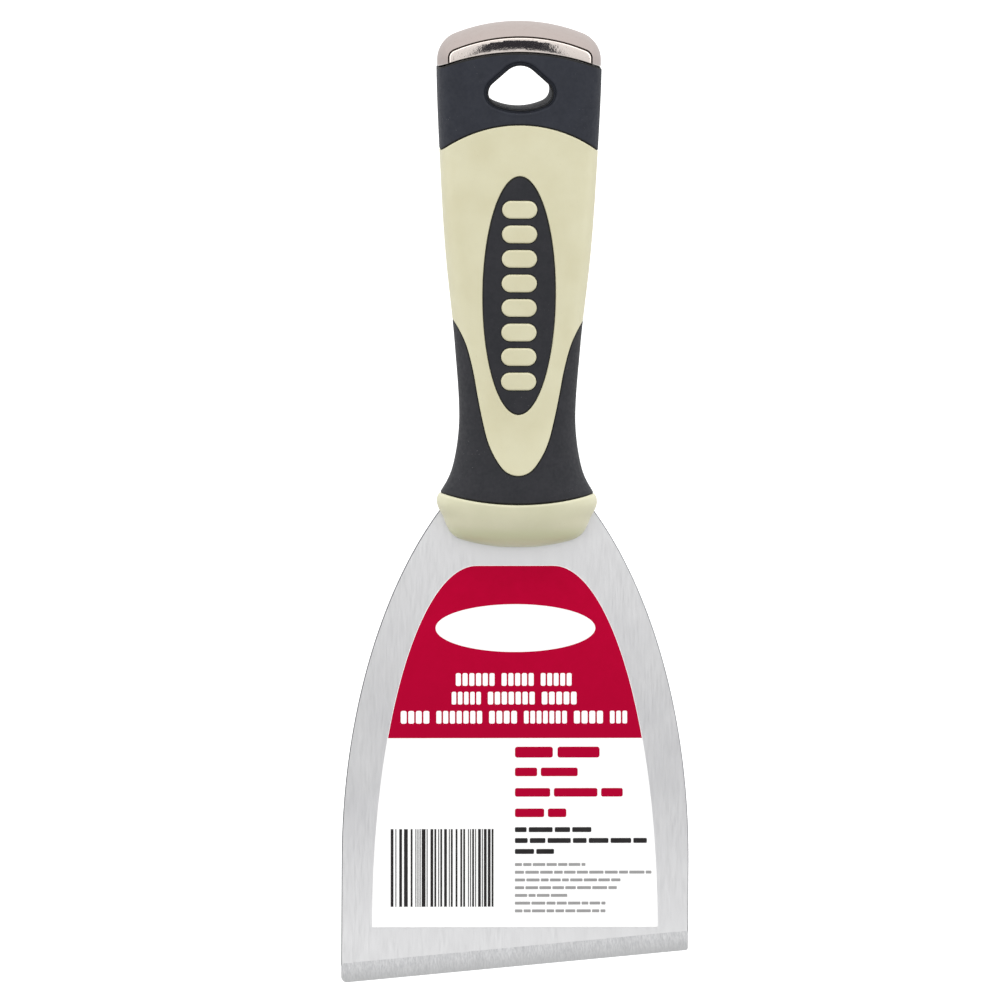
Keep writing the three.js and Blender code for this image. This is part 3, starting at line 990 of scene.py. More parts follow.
@dataclass
class HandleForm:
    """The handle's outer form, which the cream and the soft mouldings share.

    A point of its front right quarter has two chart coordinates: how far round the section it lies from the
    front centre line to the side, as a part of chart_width, and its height.
    """

    stations: tuple[Station, ...] = (
        Station(5.05, 20.6, 9.2, 2.8),
        Station(12.1, 16.75, 9.2, 2.8),
        Station(14.8, 15.2, 9.0, 2.7),
        Station(17.8, 14.1, 8.8, 2.6),
        Station(26.9, 12.8, 8.8, 2.6),
        Station(44.4, 13.8, 9.8, 2.8),
        Station(65.5, 16.0, 11.0, 3.4),
        Station(86.6, 17.3, 11.5, 4.6),
        Station(104.2, 18.0, 11.6, 7.0),
        Station(115.55, 18.0, 11.6, 7.0),
    )
    chart_width: float = 24.0
    row_step: float = 0.25
    columns: int = 361
    blur_rows: int = 24
    station_steps: int = 120
    ring_samples: int = 1500
    line_samples: int = 2400
    line_rounds: int = 30
    halvings: int = 40
    probe: float = 0.15
    row_guard: float = 0.001

    def __post_init__(self) -> None:
        """Works out the sections at close heights, with their points evenly round each."""
        sizes = np.array([(s.half_width, s.half_depth, s.height) for s in self.stations])
        curve = catmull_rom(sizes, Knots.CENTRIPETAL, self.station_steps)
        self.heights = np.arange(self.stations[0].height, self.stations[-1].height, self.row_step)
        squareness = np.interp(
            self.heights, [s.height for s in self.stations], [s.squareness for s in self.stations]
        )
        padded = np.pad(squareness, self.blur_rows, mode="edge")
        window = np.hanning(2 * self.blur_rows + 1)
        squareness = np.convolve(padded, window / window.sum(), mode="valid")
        half_width = np.interp(self.heights, curve[:, 2], curve[:, 0])
        half_depth = np.interp(self.heights, curve[:, 2], curve[:, 1])
        angle = np.linspace(0.0, math.pi / 2, self.ring_samples)
        shares = np.linspace(0.0, 1.0, self.columns)
        self.table = np.zeros((len(self.heights), self.columns, 2))
        for row, (width, depth, power) in enumerate(zip(half_width, half_depth, squareness)):
            reach = ((np.sin(angle) / width) ** power + (np.cos(angle) / depth) ** power) ** (-1 / power)
            x, y = reach * np.sin(angle), -reach * np.cos(angle)
            walked = np.concatenate(([0.0], np.cumsum(np.hypot(np.diff(x), np.diff(y)))))
            self.table[row, :, 0] = np.interp(shares, walked / walked[-1], x)
            self.table[row, :, 1] = np.interp(shares, walked / walked[-1], y)
        self.table[:, 0, 0] = 0.0
        self.table[:, -1, 1] = 0.0

    def surface(self, across: np.ndarray, height: np.ndarray) -> np.ndarray:
        """Gives points of the outer surface.

        Args:
            across: Chart positions round the section, which may run a little past either mirror line.
            height: Their heights.

        Returns:
            The points.
        """
        share = np.abs(across) / self.chart_width
        behind = share > 1
        column = np.where(behind, 2 - share, share) * (self.columns - 1)
        row = np.clip((height - self.heights[0]) / self.row_step, 0, len(self.heights) - 1 - self.row_guard)
        left = np.clip(column.astype(int), 0, self.columns - 2)
        low = row.astype(int)
        part, rise = (column - left)[:, None], (row - low)[:, None]
        lower = self.table[low, left] * (1 - part) + self.table[low, left + 1] * part
        upper = self.table[low + 1, left] * (1 - part) + self.table[low + 1, left + 1] * part
        plan = lower * (1 - rise) + upper * rise
        x = np.where(across < 0, -plan[:, 0], plan[:, 0])
        y = np.where(behind, -plan[:, 1], plan[:, 1])
        return np.column_stack((x, y, height))

    def place(self, chart: np.ndarray, drop: float) -> np.ndarray:
        """Gives points under the outer surface.

        Args:
            chart: Their chart coordinates.
            drop: How deep they lie; a negative drop raises them.

        Returns:
            The points.
        """
        across, height = chart.T
        along = self.surface(across + self.probe, height) - self.surface(across - self.probe, height)
        up = self.surface(across, height + self.probe) - self.surface(across, height - self.probe)
        normal = np.cross(along, up)
        normal /= np.linalg.norm(normal, axis=1, keepdims=True)
        return self.surface(across, height) - normal * drop

    def chart(self, outline: np.ndarray) -> np.ndarray:
        """Finds the chart coordinates of points drawn in the front view.

        Args:
            outline: The points' x, from 0 out to the side, and their heights.

        Returns:
            Their chart coordinates.
        """
        x, height = outline.T
        low, high = np.zeros(len(x)), np.full(len(x), self.chart_width)
        for _ in range(self.halvings):
            middle = (low + high) / 2
            short = self.surface(middle, height)[:, 0] < x
            low, high = np.where(short, middle, low), np.where(short, high, middle)
        return np.column_stack((np.where(x <= 0, 0.0, low), height))

    def line(self, height_at: Callable[[np.ndarray], np.ndarray], spacing: float = 0.5) -> np.ndarray:
        """Draws a line from the front centre line to the side.

        Args:
            height_at: Gives the line's height for each x.
            spacing: The length of a step.

        Returns:
            The line in the chart.
        """
        across = np.linspace(0.0, self.chart_width, self.line_samples)
        height = height_at(np.zeros_like(across))
        for _ in range(self.line_rounds):
            height = height_at(self.surface(across, height)[:, 0])
        return resampled(np.column_stack((across, height)), spacing)


@dataclass
class HandleLines:
    """The borders between the handle's fields, as they are drawn in the front view."""

    form: HandleForm
    bolster_seam: tuple[float, float] = (9.6, 64.0)
    wedge_nose: float = 15.9
    wedge_rise: float = 33.6
    wedge_half_width: float = 14.05
    wedge_shares: tuple[tuple[float, float], ...] = (
        (0.0, 0.0), (0.19, 0.026), (0.345, 0.105), (0.475, 0.22), (0.573, 0.38),
        (0.645, 0.53), (0.716, 0.69), (0.815, 0.845), (0.935, 0.955), (1.08, 1.05),
    )
    oval_height: float = 55.6
    oval_half_width: float = 8.05
    oval_half_height: float = 26.25
    rib_count: int = 8
    rib_pitch: float = 5.4
    rib_half_thickness: float = 2.0
    rib_length_share: float = 0.7
    collar_arch: tuple[float, float] = (93.05, 29.0)
    cap_seam: tuple[float, float] = (108.95, 48.5)
    hole_foot: Corner = Corner(0.0, 95.6, 14.0)
    hole_lobe: Corner = Corner(9.4, 99.2, 2.7)
    hole_apex: Corner = Corner(0.0, 107.5, 4.2)
    wedge_steps: int = 60
    oval_samples: int = 600
    oval_spacing: float = 0.5
    rib_samples: int = 120
    rib_spacing: float = 0.22
    hole_steps: int = 40
    hole_spacing: float = 0.4
    middle_tolerance: float = 1e-9

    def bowl(self) -> np.ndarray:
        """Draws the bolster's seam, which rises to the sides."""
        bottom, radius = self.bolster_seam
        return self.form.line(lambda x: bottom + radius - np.sqrt(radius**2 - x**2))

    def arch(self, top: float, radius: float) -> np.ndarray:
        """Draws a seam that falls away to the sides from its top."""
        return self.form.line(lambda x: top - radius + np.sqrt(radius**2 - x**2))

    def wedge(self) -> np.ndarray:
        """Draws the border of the cream panel's lower end.

        Returns:
            The line in the chart, from its nose up to the side.
        """
        right = np.array(self.wedge_shares)
        both = np.vstack((right[:0:-1] * (-1.0, 1.0), right))
        curve = catmull_rom(both, Knots.UNIFORM, self.wedge_steps)
        curve = curve[curve[:, 0] >= 0] * (self.wedge_half_width, self.wedge_rise)
        return self.form.line(lambda x: np.interp(x, curve[:, 0], curve[:, 1]) + self.wedge_nose)

    def oval(self) -> np.ndarray:
        """Draws the right half of the oval.

        Returns:
            The line in the chart, from its lower to its upper end.
        """
        angle = np.linspace(-math.pi / 2, math.pi / 2, self.oval_samples)
        x = self.oval_half_width * np.cos(angle)
        x[[0, -1]] = 0.0
        height = self.oval_height + self.oval_half_height * np.sin(angle)
        return resampled(self.form.chart(np.column_stack((x, height))), self.oval_spacing)

    def rib(self, index: int) -> np.ndarray:
        """Draws the right half of a rib's outline.

        Args:
            index: The rib's number, counted from the lowest.

        Returns:
            The line in the chart, from its lower to its upper side.
        """
        last = (self.rib_count - 1) / 2
        height = self.oval_height + (index - last) * self.rib_pitch
        share = math.sqrt(1 - (last * self.rib_pitch / self.oval_half_height) ** 2)
        straight = self.oval_half_width * share * self.rib_length_share - self.rib_half_thickness
        angle = np.linspace(-math.pi / 2, math.pi / 2, self.rib_samples)
        x = straight + self.rib_half_thickness * np.cos(angle)
        round_end = np.column_stack((x, height + self.rib_half_thickness * np.sin(angle)))
        start = np.array([[0.0, round_end[0, 1]]])
        end = np.array([[0.0, round_end[-1, 1]]])
        return resampled(self.form.chart(np.vstack((start, round_end, end))), self.rib_spacing)

    def hole_outline(self) -> np.ndarray:
        """Draws the whole hang hole in the front view, anticlockwise."""
        left_lobe = Corner(-self.hole_lobe.x, self.hole_lobe.height, self.hole_lobe.radius)
        return rounded((self.hole_foot, self.hole_lobe, self.hole_apex, left_lobe), self.hole_steps)

    def hole(self) -> np.ndarray:
        """Draws the right half of the hang hole.

        Returns:
            The line in the chart, from its lower to its upper end.
        """
        outline = self.hole_outline()
        right = outline[outline[:, 0] > -self.middle_tolerance]
        right = right[np.argsort(right[:, 1])]
        right[[0, -1], 0] = 0.0
        return resampled(self.form.chart(right), self.hole_spacing)


class ShotPaint(IntEnum):
    """The finishes of a moulding, by their paint numbers."""

    FACE = 0
    # Painted shade: the near-black rubber on the rounded border edges.
    SEAM = 1


class Wall(Enum):
    """What a moulding does below one of its borders."""

    SKIRT = "it ends in a wall down to its underside"
    THROUGH = "its wall runs through to the middle of the handle"


@dataclass(frozen=True)
class Border:
    """One stretch of a moulding's border in the chart, with the moulding on its left."""

    line: np.ndarray
    radius: float
    wall: Wall = Wall.SKIRT
    clearance: float = 0.04
    paint: int = ShotPaint.FACE
    groove: tuple[tuple[float, float], ...] = ()

    def inner_inset(self, guard: float) -> float:
        """Gives how far from the line the even face begins, a guard inside all that shapes the edge."""
        last = self.groove[-1][0] if self.groove else 0.0
        return self.clearance + self.radius + last + guard


@dataclass
class Moulding:
    """A skin of the handle, drawn on one quarter: borders in turn, with mirror lines between them."""

    form: HandleForm
    borders: Sequence[Border]
    thickness: float
    rise: float = 0.0
    spacing: float = 0.9
    guard: float = 0.3
    rounding_steps: int = 5
    shoulder_share: float = 0.96

    def draft(self) -> Draft:
        """Builds the closed quarter: its rounded edges, walls, outer face and underside.

        Returns:
            The quarter.
        """
        draft = Draft()
        loop: list[np.ndarray] = []
        turns = np.linspace(0.0, math.pi / 2, self.rounding_steps + 1)
        for index, border in enumerate(self.borders):
            insets = [border.clearance + border.radius * (1 - math.cos(turn)) for turn in turns]
            drops = [border.radius * (1 - math.sin(turn)) - self.rise for turn in turns]
            for inset, drop in border.groove:
                insets.append(border.clearance + border.radius + inset)
                drops.append(drop - self.rise)
            insets.append(border.inner_inset(self.guard))
            drops.append(-self.rise)
            lines = [shifted(border.line, inset, Ends.UPRIGHT) for inset in insets]
            outer = [self.form.place(line, drop) for line, drop in zip(lines, drops)]
            under = self.form.place(lines[-1], self.thickness)
            edge = len(turns)
            # The rounded edge and its wall take the border's paint, which is the painted shade at the joints
            # and round the hang hole.
            if border.wall is Wall.SKIRT:
                foot = self.form.place(lines[0], self.thickness)
                draft.add_strip([under, foot, *outer[:edge]], paint=border.paint)
            else:
                level = np.array([1.0, 0.0, 1.0])
                shoulder = outer[0] * level + (outer[0] - outer[0] * level) * self.shoulder_share
                draft.add_strip([outer[0] * level, shoulder, outer[0]])
                draft.add_strip(outer[:edge], paint=border.paint)
                draft.add_strip([under * level, under])
                draft.add_strip([outer[0] * level, under * level])
            draft.add_strip(outer[edge - 1 :])
            loop.append(lines[-1])
            other = self.borders[(index + 1) % len(self.borders)]
            following = shifted(other.line[:2], other.inner_inset(self.guard), Ends.UPRIGHT)[0]
            loop.append(resampled(np.vstack((lines[-1][-1], following)), self.spacing)[1:-1])
        flat, triangles = triangulated([np.vstack(loop)], self.spacing)
        draft.add(self.form.place(flat, -self.rise), triangles)
        draft.add(self.form.place(flat, self.thickness), triangles[:, ::-1])
        return draft


# The pieces


class Sides(Enum):
    """Which faces of the handle a piece lies on."""

    FRONT = "front"
    BACK = "back"
    BOTH = "both"


@dataclass
class Handle:
    """The two shots of the handle: cream panel and ribs, and the soft grip, collar and inlays."""

    lines: HandleLines
    datum: Datum
    skin: float = 1.5
    cream_radius: float = 0.2
    soft_radius: float = 0.3
    seam_radius: float = 0.35
    rim_radius: float = 0.3
    rim_groove: tuple[tuple[float, float], ...] = (
        (0.08, 0.28), (0.2, 0.5), (0.4, 0.48), (0.56, 0.15),
        (0.7, 0.0), (0.9, -0.06), (1.15, -0.04), (1.4, 0.0),
    )
    rib_radius: float = 0.4
    rib_gap_radius: float = 0.12
    rib_rise: float = 0.25
    rib_point_spacing: float = 0.5
    rib_guard: float = 0.2

    def _finished(
        self,
        quarter: Draft,
        sides: Sides,
        name: str,
        materials: Sequence[bpy.types.Material],
        slot: str,
        node: str,
    ) -> bpy.types.Object:
        """Completes a quarter to a piece that rides on the tool.

        Args:
            quarter: The front right quarter.
            sides: The faces of the handle that the piece lies on.
            name: The piece's name.
            materials: Its finishes.
            slot: The record's slot of the first finish.
            node: The CAD node that it stands for.

        Returns:
            The piece.
        """
        quarter.mirror(0)
        if sides is Sides.BOTH:
            quarter.mirror(1)
        elif sides is Sides.BACK:
            quarter.points = quarter.points * (1.0, -1.0, 1.0)
        piece = quarter.to_object(name, self.datum, materials)
        settle(piece, slot, node)
        return piece

    def panel(self, finishes: FinishSet) -> bpy.types.Object:
        """Builds the cream panel between the soft fields.

        Args:
            finishes: The materials.

        Returns:
            The piece.
        """
        lines = self.lines
        borders = [
            Border(lines.wedge(), self.cream_radius),
            Border(lines.arch(*lines.collar_arch)[::-1], self.cream_radius),
            Border(lines.oval()[::-1], self.cream_radius),
        ]
        quarter = Moulding(lines.form, borders, self.skin).draft()
        return self._finished(
            quarter, Sides.BOTH, "core_panel", [finishes.cream], "cream_plastic", "handle_core"
        )

    def lower_grip(self, finishes: FinishSet) -> bpy.types.Object:
        """Builds the soft sleeve round the neck.

        Args:
            finishes: The materials.

        Returns:
            The piece.
        """
        lines = self.lines
        borders = [
            Border(lines.bowl(), self.seam_radius, paint=ShotPaint.SEAM),
            Border(lines.wedge()[::-1], self.soft_radius, paint=ShotPaint.SEAM),
        ]
        quarter = Moulding(lines.form, borders, self.skin).draft()
        materials = [finishes.rubber, finishes.seam]
        return self._finished(
            quarter, Sides.BOTH, "lower_grip_sleeve", materials, "soft_black", "lower_grip"
        )

    def collar(self, finishes: FinishSet) -> bpy.types.Object:
        """Builds the soft collar with the lining of the hang hole.

        Args:
            finishes: The materials.

        Returns:
            The piece.
        """
        lines = self.lines
        borders = [
            Border(lines.arch(*lines.collar_arch), self.soft_radius, paint=ShotPaint.SEAM),
            Border(lines.arch(*lines.cap_seam)[::-1], self.seam_radius, paint=ShotPaint.SEAM),
            Border(
                lines.hole()[::-1],
                self.rim_radius,
                Wall.THROUGH,
                clearance=0.0,
                paint=ShotPaint.SEAM,
                groove=self.rim_groove,
            ),
        ]
        quarter = Moulding(lines.form, borders, self.skin).draft()
        materials = [finishes.collar, finishes.seam]
        return self._finished(
            quarter, Sides.BOTH, "end_collar_sleeve", materials, "soft_black", "end_collar"
        )

    def inlay(self, finishes: FinishSet, side: Sides) -> bpy.types.Object:
        """Builds one oval inlay, pierced for the ribs.

        Args:
            finishes: The materials.
            side: The face that it lies on.

        Returns:
            The piece.
        """
        lines = self.lines
        ribs = [lines.rib(index)[::-1] for index in reversed(range(lines.rib_count))]
        borders = [Border(lines.oval(), self.soft_radius, paint=ShotPaint.SEAM)]
        borders += [Border(rib, self.rib_gap_radius, paint=ShotPaint.SEAM) for rib in ribs]
        quarter = Moulding(lines.form, borders, self.skin).draft()
        materials = [finishes.rubber, finishes.seam]
        return self._finished(
            quarter, side, f"inlay_{side.value}_oval", materials, "soft_black", f"inlay_{side.value}"
        )

    def ribs(self, finishes: FinishSet, side: Sides) -> bpy.types.Object:
        """Builds the cream ribs that rise through one inlay.

        Args:
            finishes: The materials.
            side: The face that they lie on.

        Returns:
            The piece.
        """
        quarter = Draft()
        for index in range(self.lines.rib_count):
            border = Border(self.lines.rib(index), self.rib_radius)
            rib = Moulding(
                self.lines.form,
                [border],
                self.skin,
                self.rib_rise,
                spacing=self.rib_point_spacing,
                guard=self.rib_guard,
            ).draft()
            quarter.add(rib.points, rib.faces)
        return self._finished(
            quarter, side, f"core_ribs_{side.value}", [finishes.cream], "cream_plastic", "handle_core"
        )


@dataclass
class Bolster:
    """The cream bolster: a smooth dish-shaped end with a bead that stands proud of the soft grip."""

    datum: Datum
    half_width: float = 17.6
    half_depth: float = 10.0
    bead_height: float = 10.1
    lip_half_depth: float = 2.4
    squareness: float = 2.9
    seam_bottom: float = 9.53
    seam_radius: float = 64.1
    bead_radius: float = 0.5
    shares: tuple[tuple[float, float], ...] = (
        (0.22, -0.004), (0.29, 0.012), (0.46, 0.06), (0.62, 0.12), (0.725, 0.18),
        (0.81, 0.28), (0.877, 0.46), (0.92, 0.65), (0.968, 0.8), (0.995, 0.92),
        (1.0, 1.0), (0.992, 1.09), (0.963, 1.18), (0.92, 1.3),
    )
    share_steps: int = 40
    columns: int = 256
    rows: int = 56
    bead_steps: int = 6
    seam_rounds: int = 20
    top_insets: tuple[float, ...] = (1.6, 3.0)

    def _size(self, height: np.ndarray) -> tuple[np.ndarray, np.ndarray]:
        """Gives the bolster's size by height.

        Args:
            height: The heights.

        Returns:
            The half-width and the half-depth at each height.
        """
        curve = catmull_rom(np.array(self.shares), Knots.CENTRIPETAL, self.share_steps)
        up = height / self.bead_height
        across = np.interp(up, curve[:, 1], curve[:, 0])
        rounding = np.sqrt(1 - np.clip(1 - up, 0, 1) ** 2)
        depth = self.lip_half_depth + (self.half_depth - self.lip_half_depth) * rounding
        return across * self.half_width, depth

    def _ring(self, height: np.ndarray, inset: float = 0.0) -> np.ndarray:
        """Gives one line round the bolster.

        Args:
            height: The height of each column's point.
            inset: How far the line is drawn in towards the axis.

        Returns:
            One point a column.
        """
        angle = np.linspace(0.0, 2 * math.pi, self.columns, endpoint=False)
        width, depth = self._size(height)
        power = self.squareness
        reach = (
            (np.abs(np.sin(angle)) / width) ** power + (np.abs(np.cos(angle)) / depth) ** power
        ) ** (-1 / power) - inset
        return np.column_stack((reach * np.sin(angle), -reach * np.cos(angle), height))

    def _seam(self, x: np.ndarray) -> np.ndarray:
        """Gives the height of the bolster's upper edge for each x."""
        return self.seam_bottom + self.seam_radius - np.sqrt(self.seam_radius**2 - x**2)

    def build(self, finishes: FinishSet, slot_cutter: bpy.types.Object) -> bpy.types.Object:
        """Builds the bolster.

        Args:
            finishes: The materials.
            slot_cutter: The solid of the slot that takes the blade.

        Returns:
            The piece.
        """
        top = np.full(self.columns, self.seam_bottom)
        for _ in range(self.seam_rounds):
            top = self._seam(self._ring(top)[:, 0])
        rings = []
        for share in 1 - np.cos(np.linspace(0.0, math.pi / 2, self.rows)):
            rings.append(self._ring((top - self.bead_radius) * share))
        for turn in np.linspace(0.0, math.pi / 2, self.bead_steps + 1)[1:]:
            height = top - self.bead_radius * (1 - math.sin(turn))
            rings.append(self._ring(height, self.bead_radius * (1 - math.cos(turn))))
        for inset in self.top_insets:
            ring = self._ring(top, inset)
            ring[:, 2] = self._seam(ring[:, 0])
            rings.append(ring)
        draft = Draft()
        draft.add_strip(rings, closed=True)
        for ring in (rings[0], rings[-1]):
            centre = np.array([[0.0, 0.0, ring[:, 2].min()]])
            fan = [(index, (index + 1) % self.columns, self.columns) for index in range(self.columns)]
            draft.add(np.vstack((ring, centre)), fan)
        piece = draft.to_object("core_bolster", self.datum, [finishes.bolster])
        carve(piece, slot_cutter, SOFT_CREASE)
        settle(piece, "cream_plastic", "handle_core")
        return piece


class SteelPaint(IntEnum):
    """The finishes of the blade, by their paint numbers."""

    ROLLED = 0
    GROUND = 1
    SHEARED = 2


@dataclass
class Blade:
    """The steel pressing: plate, skewed edge with its ground bevel, and the tang inside the handle."""

    lines: HandleLines
    datum: Datum
    width: float = 76.2
    reach: float = 92.45
    half_thickness: float = 0.9
    edge_rise: float = 7.5
    low_corner: float = 1.3
    high_corner: float = 0.6
    bevel_height: float = 4.32
    bevel_depth: float = 1.1
    parallel_depth: float = 68.9
    side_share: float = 1.235
    shoulder_half_width: float = 15.95
    shoulder_height: float = 9.3
    tang_half_width: float = 8.45
    head_half_width: float = 14.1
    head_height: float = 89.2
    head_arch: tuple[float, float] = (111.35, 50.9)
    eye_growth: float = 2.6
    key_hole_radius: float = 3.0
    key_hole_heights: tuple[float, float] = (34.9, 73.5)
    edge_break: float = 0.16
    slot_play: float = 0.07
    slot_edge: float = 0.01
    shoulder_radius: float = 3.0
    tang_radius: float = 2.5
    head_radius: float = 2.0
    crown_half_width: float = 10.0
    crown_points: int = 21
    eye_stride: int = 4
    key_hole_points: int = 48
    wheel_reach: float = 6.0
    wheel_height: float = 12.0
    wheel_half_width: float = 60.0
    ground_tolerance: float = 0.02
    ground_facing: float = -0.9

    def edge_height(self, x: float) -> float:
        """Gives the height of the scraping edge at an x."""
        return -self.reach + self.edge_rise * x / self.width

    def outline(self) -> np.ndarray:
        """Draws the whole outline with its tang.

        Returns:
            The points, anticlockwise in the front view.
        """
        side = [
            Corner(x, height)
            for x, height in flaring_side(
                (self.width / 2, -self.parallel_depth),
                (self.shoulder_half_width, self.shoulder_height),
                self.side_share,
            )
        ]
        side[-1] = Corner(side[-1].x, side[-1].height, self.shoulder_radius)
        arch_top, arch_radius = self.head_arch
        head_top = arch_top - arch_radius + math.sqrt(arch_radius**2 - self.head_half_width**2)
        side += [
            Corner(self.tang_half_width, self.shoulder_height, self.tang_radius),
            Corner(self.tang_half_width, self.head_height, self.tang_radius),
            Corner(self.head_half_width, self.head_height, self.head_radius),
            Corner(self.head_half_width, head_top, self.head_radius),
        ]
        crown = [
            Corner(x, arch_top - arch_radius + math.sqrt(arch_radius**2 - x**2))
            for x in np.linspace(self.crown_half_width, -self.crown_half_width, self.crown_points)
        ]
        left = [Corner(-corner.x, corner.height, corner.radius) for corner in reversed(side)]
        low = Corner(-self.width / 2, self.edge_height(-self.width / 2), self.low_corner)
        high = Corner(self.width / 2, self.edge_height(self.width / 2), self.high_corner)
        return rounded((low, high, *side, *crown, *left))

    def _openings(self) -> list[np.ndarray]:
        """Draws the openings of the tang.

        Returns:
            The eye round the hang hole and the key holes, clockwise.
        """
        hole = self.lines.hole_outline()[:: self.eye_stride]
        eye = shifted(hole, -self.eye_growth, Ends.JOINED)[::-1]
        angle = np.linspace(0.0, -2 * math.pi, self.key_hole_points, endpoint=False)
        ring = self.key_hole_radius * np.column_stack((np.cos(angle), np.sin(angle)))
        return [eye, *(ring + (0.0, height) for height in self.key_hole_heights)]

    def _plate(self, loops: Sequence[np.ndarray], half_thickness: float, edge_break: float) -> Draft:
        """Builds a plate with broken edges.

        Args:
            loops: Its outline and openings, with the plate on their left.
            half_thickness: Half its thickness.
            edge_break: The width of the small flats along its edges.

        Returns:
            The plate.
        """
        draft = Draft()
        inner = [shifted(loop, edge_break, Ends.JOINED) for loop in loops]
        near = half_thickness - edge_break
        for loop, inset in zip(loops, inner):
            lines = (inset, loop, loop, inset)
            depths = (-half_thickness, -near, near, half_thickness)
            rings = [np.insert(line, 1, depth, axis=1) for line, depth in zip(lines, depths)]
            draft.add_strip(rings, closed=True, paint=SteelPaint.SHEARED)
        flat, triangles = triangulated(inner)
        draft.add(np.insert(flat, 1, -half_thickness, axis=1), triangles)
        draft.add(np.insert(flat, 1, half_thickness, axis=1), triangles[:, ::-1])
        return draft

    def _bevel_cutter(self) -> bpy.types.Object:
        """Makes the solid that the grinding wheel takes off the front.

        Returns:
            The solid, longer and higher than what it takes off.
        """
        along = np.array([self.width, 0.0, self.edge_rise])
        along /= np.linalg.norm(along)
        up = np.array([-along[2], 0.0, along[0]])
        corners = []
        for height in (-self.wheel_reach, self.wheel_height):
            slope = -self.half_thickness + self.bevel_depth * (1 - height / self.bevel_height)
            corners += [(-self.wheel_reach, height), (slope, height)]
        section = [corners[0], corners[1], corners[3], corners[2]]
        start = np.array([0.0, 0.0, -self.reach])
        rings = [
            np.array([start + along * run + up * height + (0.0, depth, 0.0) for depth, height in section])
            for run in (-self.wheel_half_width, self.wheel_half_width)
        ]
        draft = Draft()
        draft.add_strip(rings, closed=True)
        draft.add(rings[0], [(0, 1, 2, 3)])
        draft.add(rings[1], [(0, 1, 2, 3)])
        return draft.to_object("bevel_cutter", self.datum, [])

    def slot_cutter(self) -> bpy.types.Object:
        """Makes the solid of the slot that the blade needs in the bolster.

        Returns:
            The solid, a little larger than the blade.
        """
        loops = [shifted(self.outline(), -self.slot_play, Ends.JOINED)]
        slot = self._plate(loops, self.half_thickness + self.slot_play, self.slot_edge)
        return slot.to_object("slot_cutter", self.datum, [])

    def build(self, finishes: FinishSet) -> bpy.types.Object:
        """Builds the blade with its ground bevel.

        Args:
            finishes: The materials.

        Returns:
            The piece.
        """
        draft = self._plate([self.outline(), *self._openings()], self.half_thickness, self.edge_break)
        steels = [finishes.steel, finishes.ground, finishes.sheared]
        piece = draft.to_object("steel_blade", self.datum, steels, PLATE_CREASE)
        carve(piece, self._bevel_cutter(), PLATE_CREASE)
        slope = -math.sin(math.atan(self.bevel_depth / self.bevel_height))
        lean = slope * self.width / math.hypot(self.width, self.edge_rise)
        for face in piece.data.polygons:
            sloping = abs(face.normal.z - lean) < self.ground_tolerance
            if sloping and face.normal.y < self.ground_facing:
                face.material_index = SteelPaint.GROUND
        settle(piece, "steel", "blade")
        return piece


@dataclass(frozen=True)
class TextRow:
    """A row of plain blocks where a sticker of this kind has a row of words."""

    top: float
    height: float
    start: float
    end: float
    ink: Ink
    letter: float = 0.0


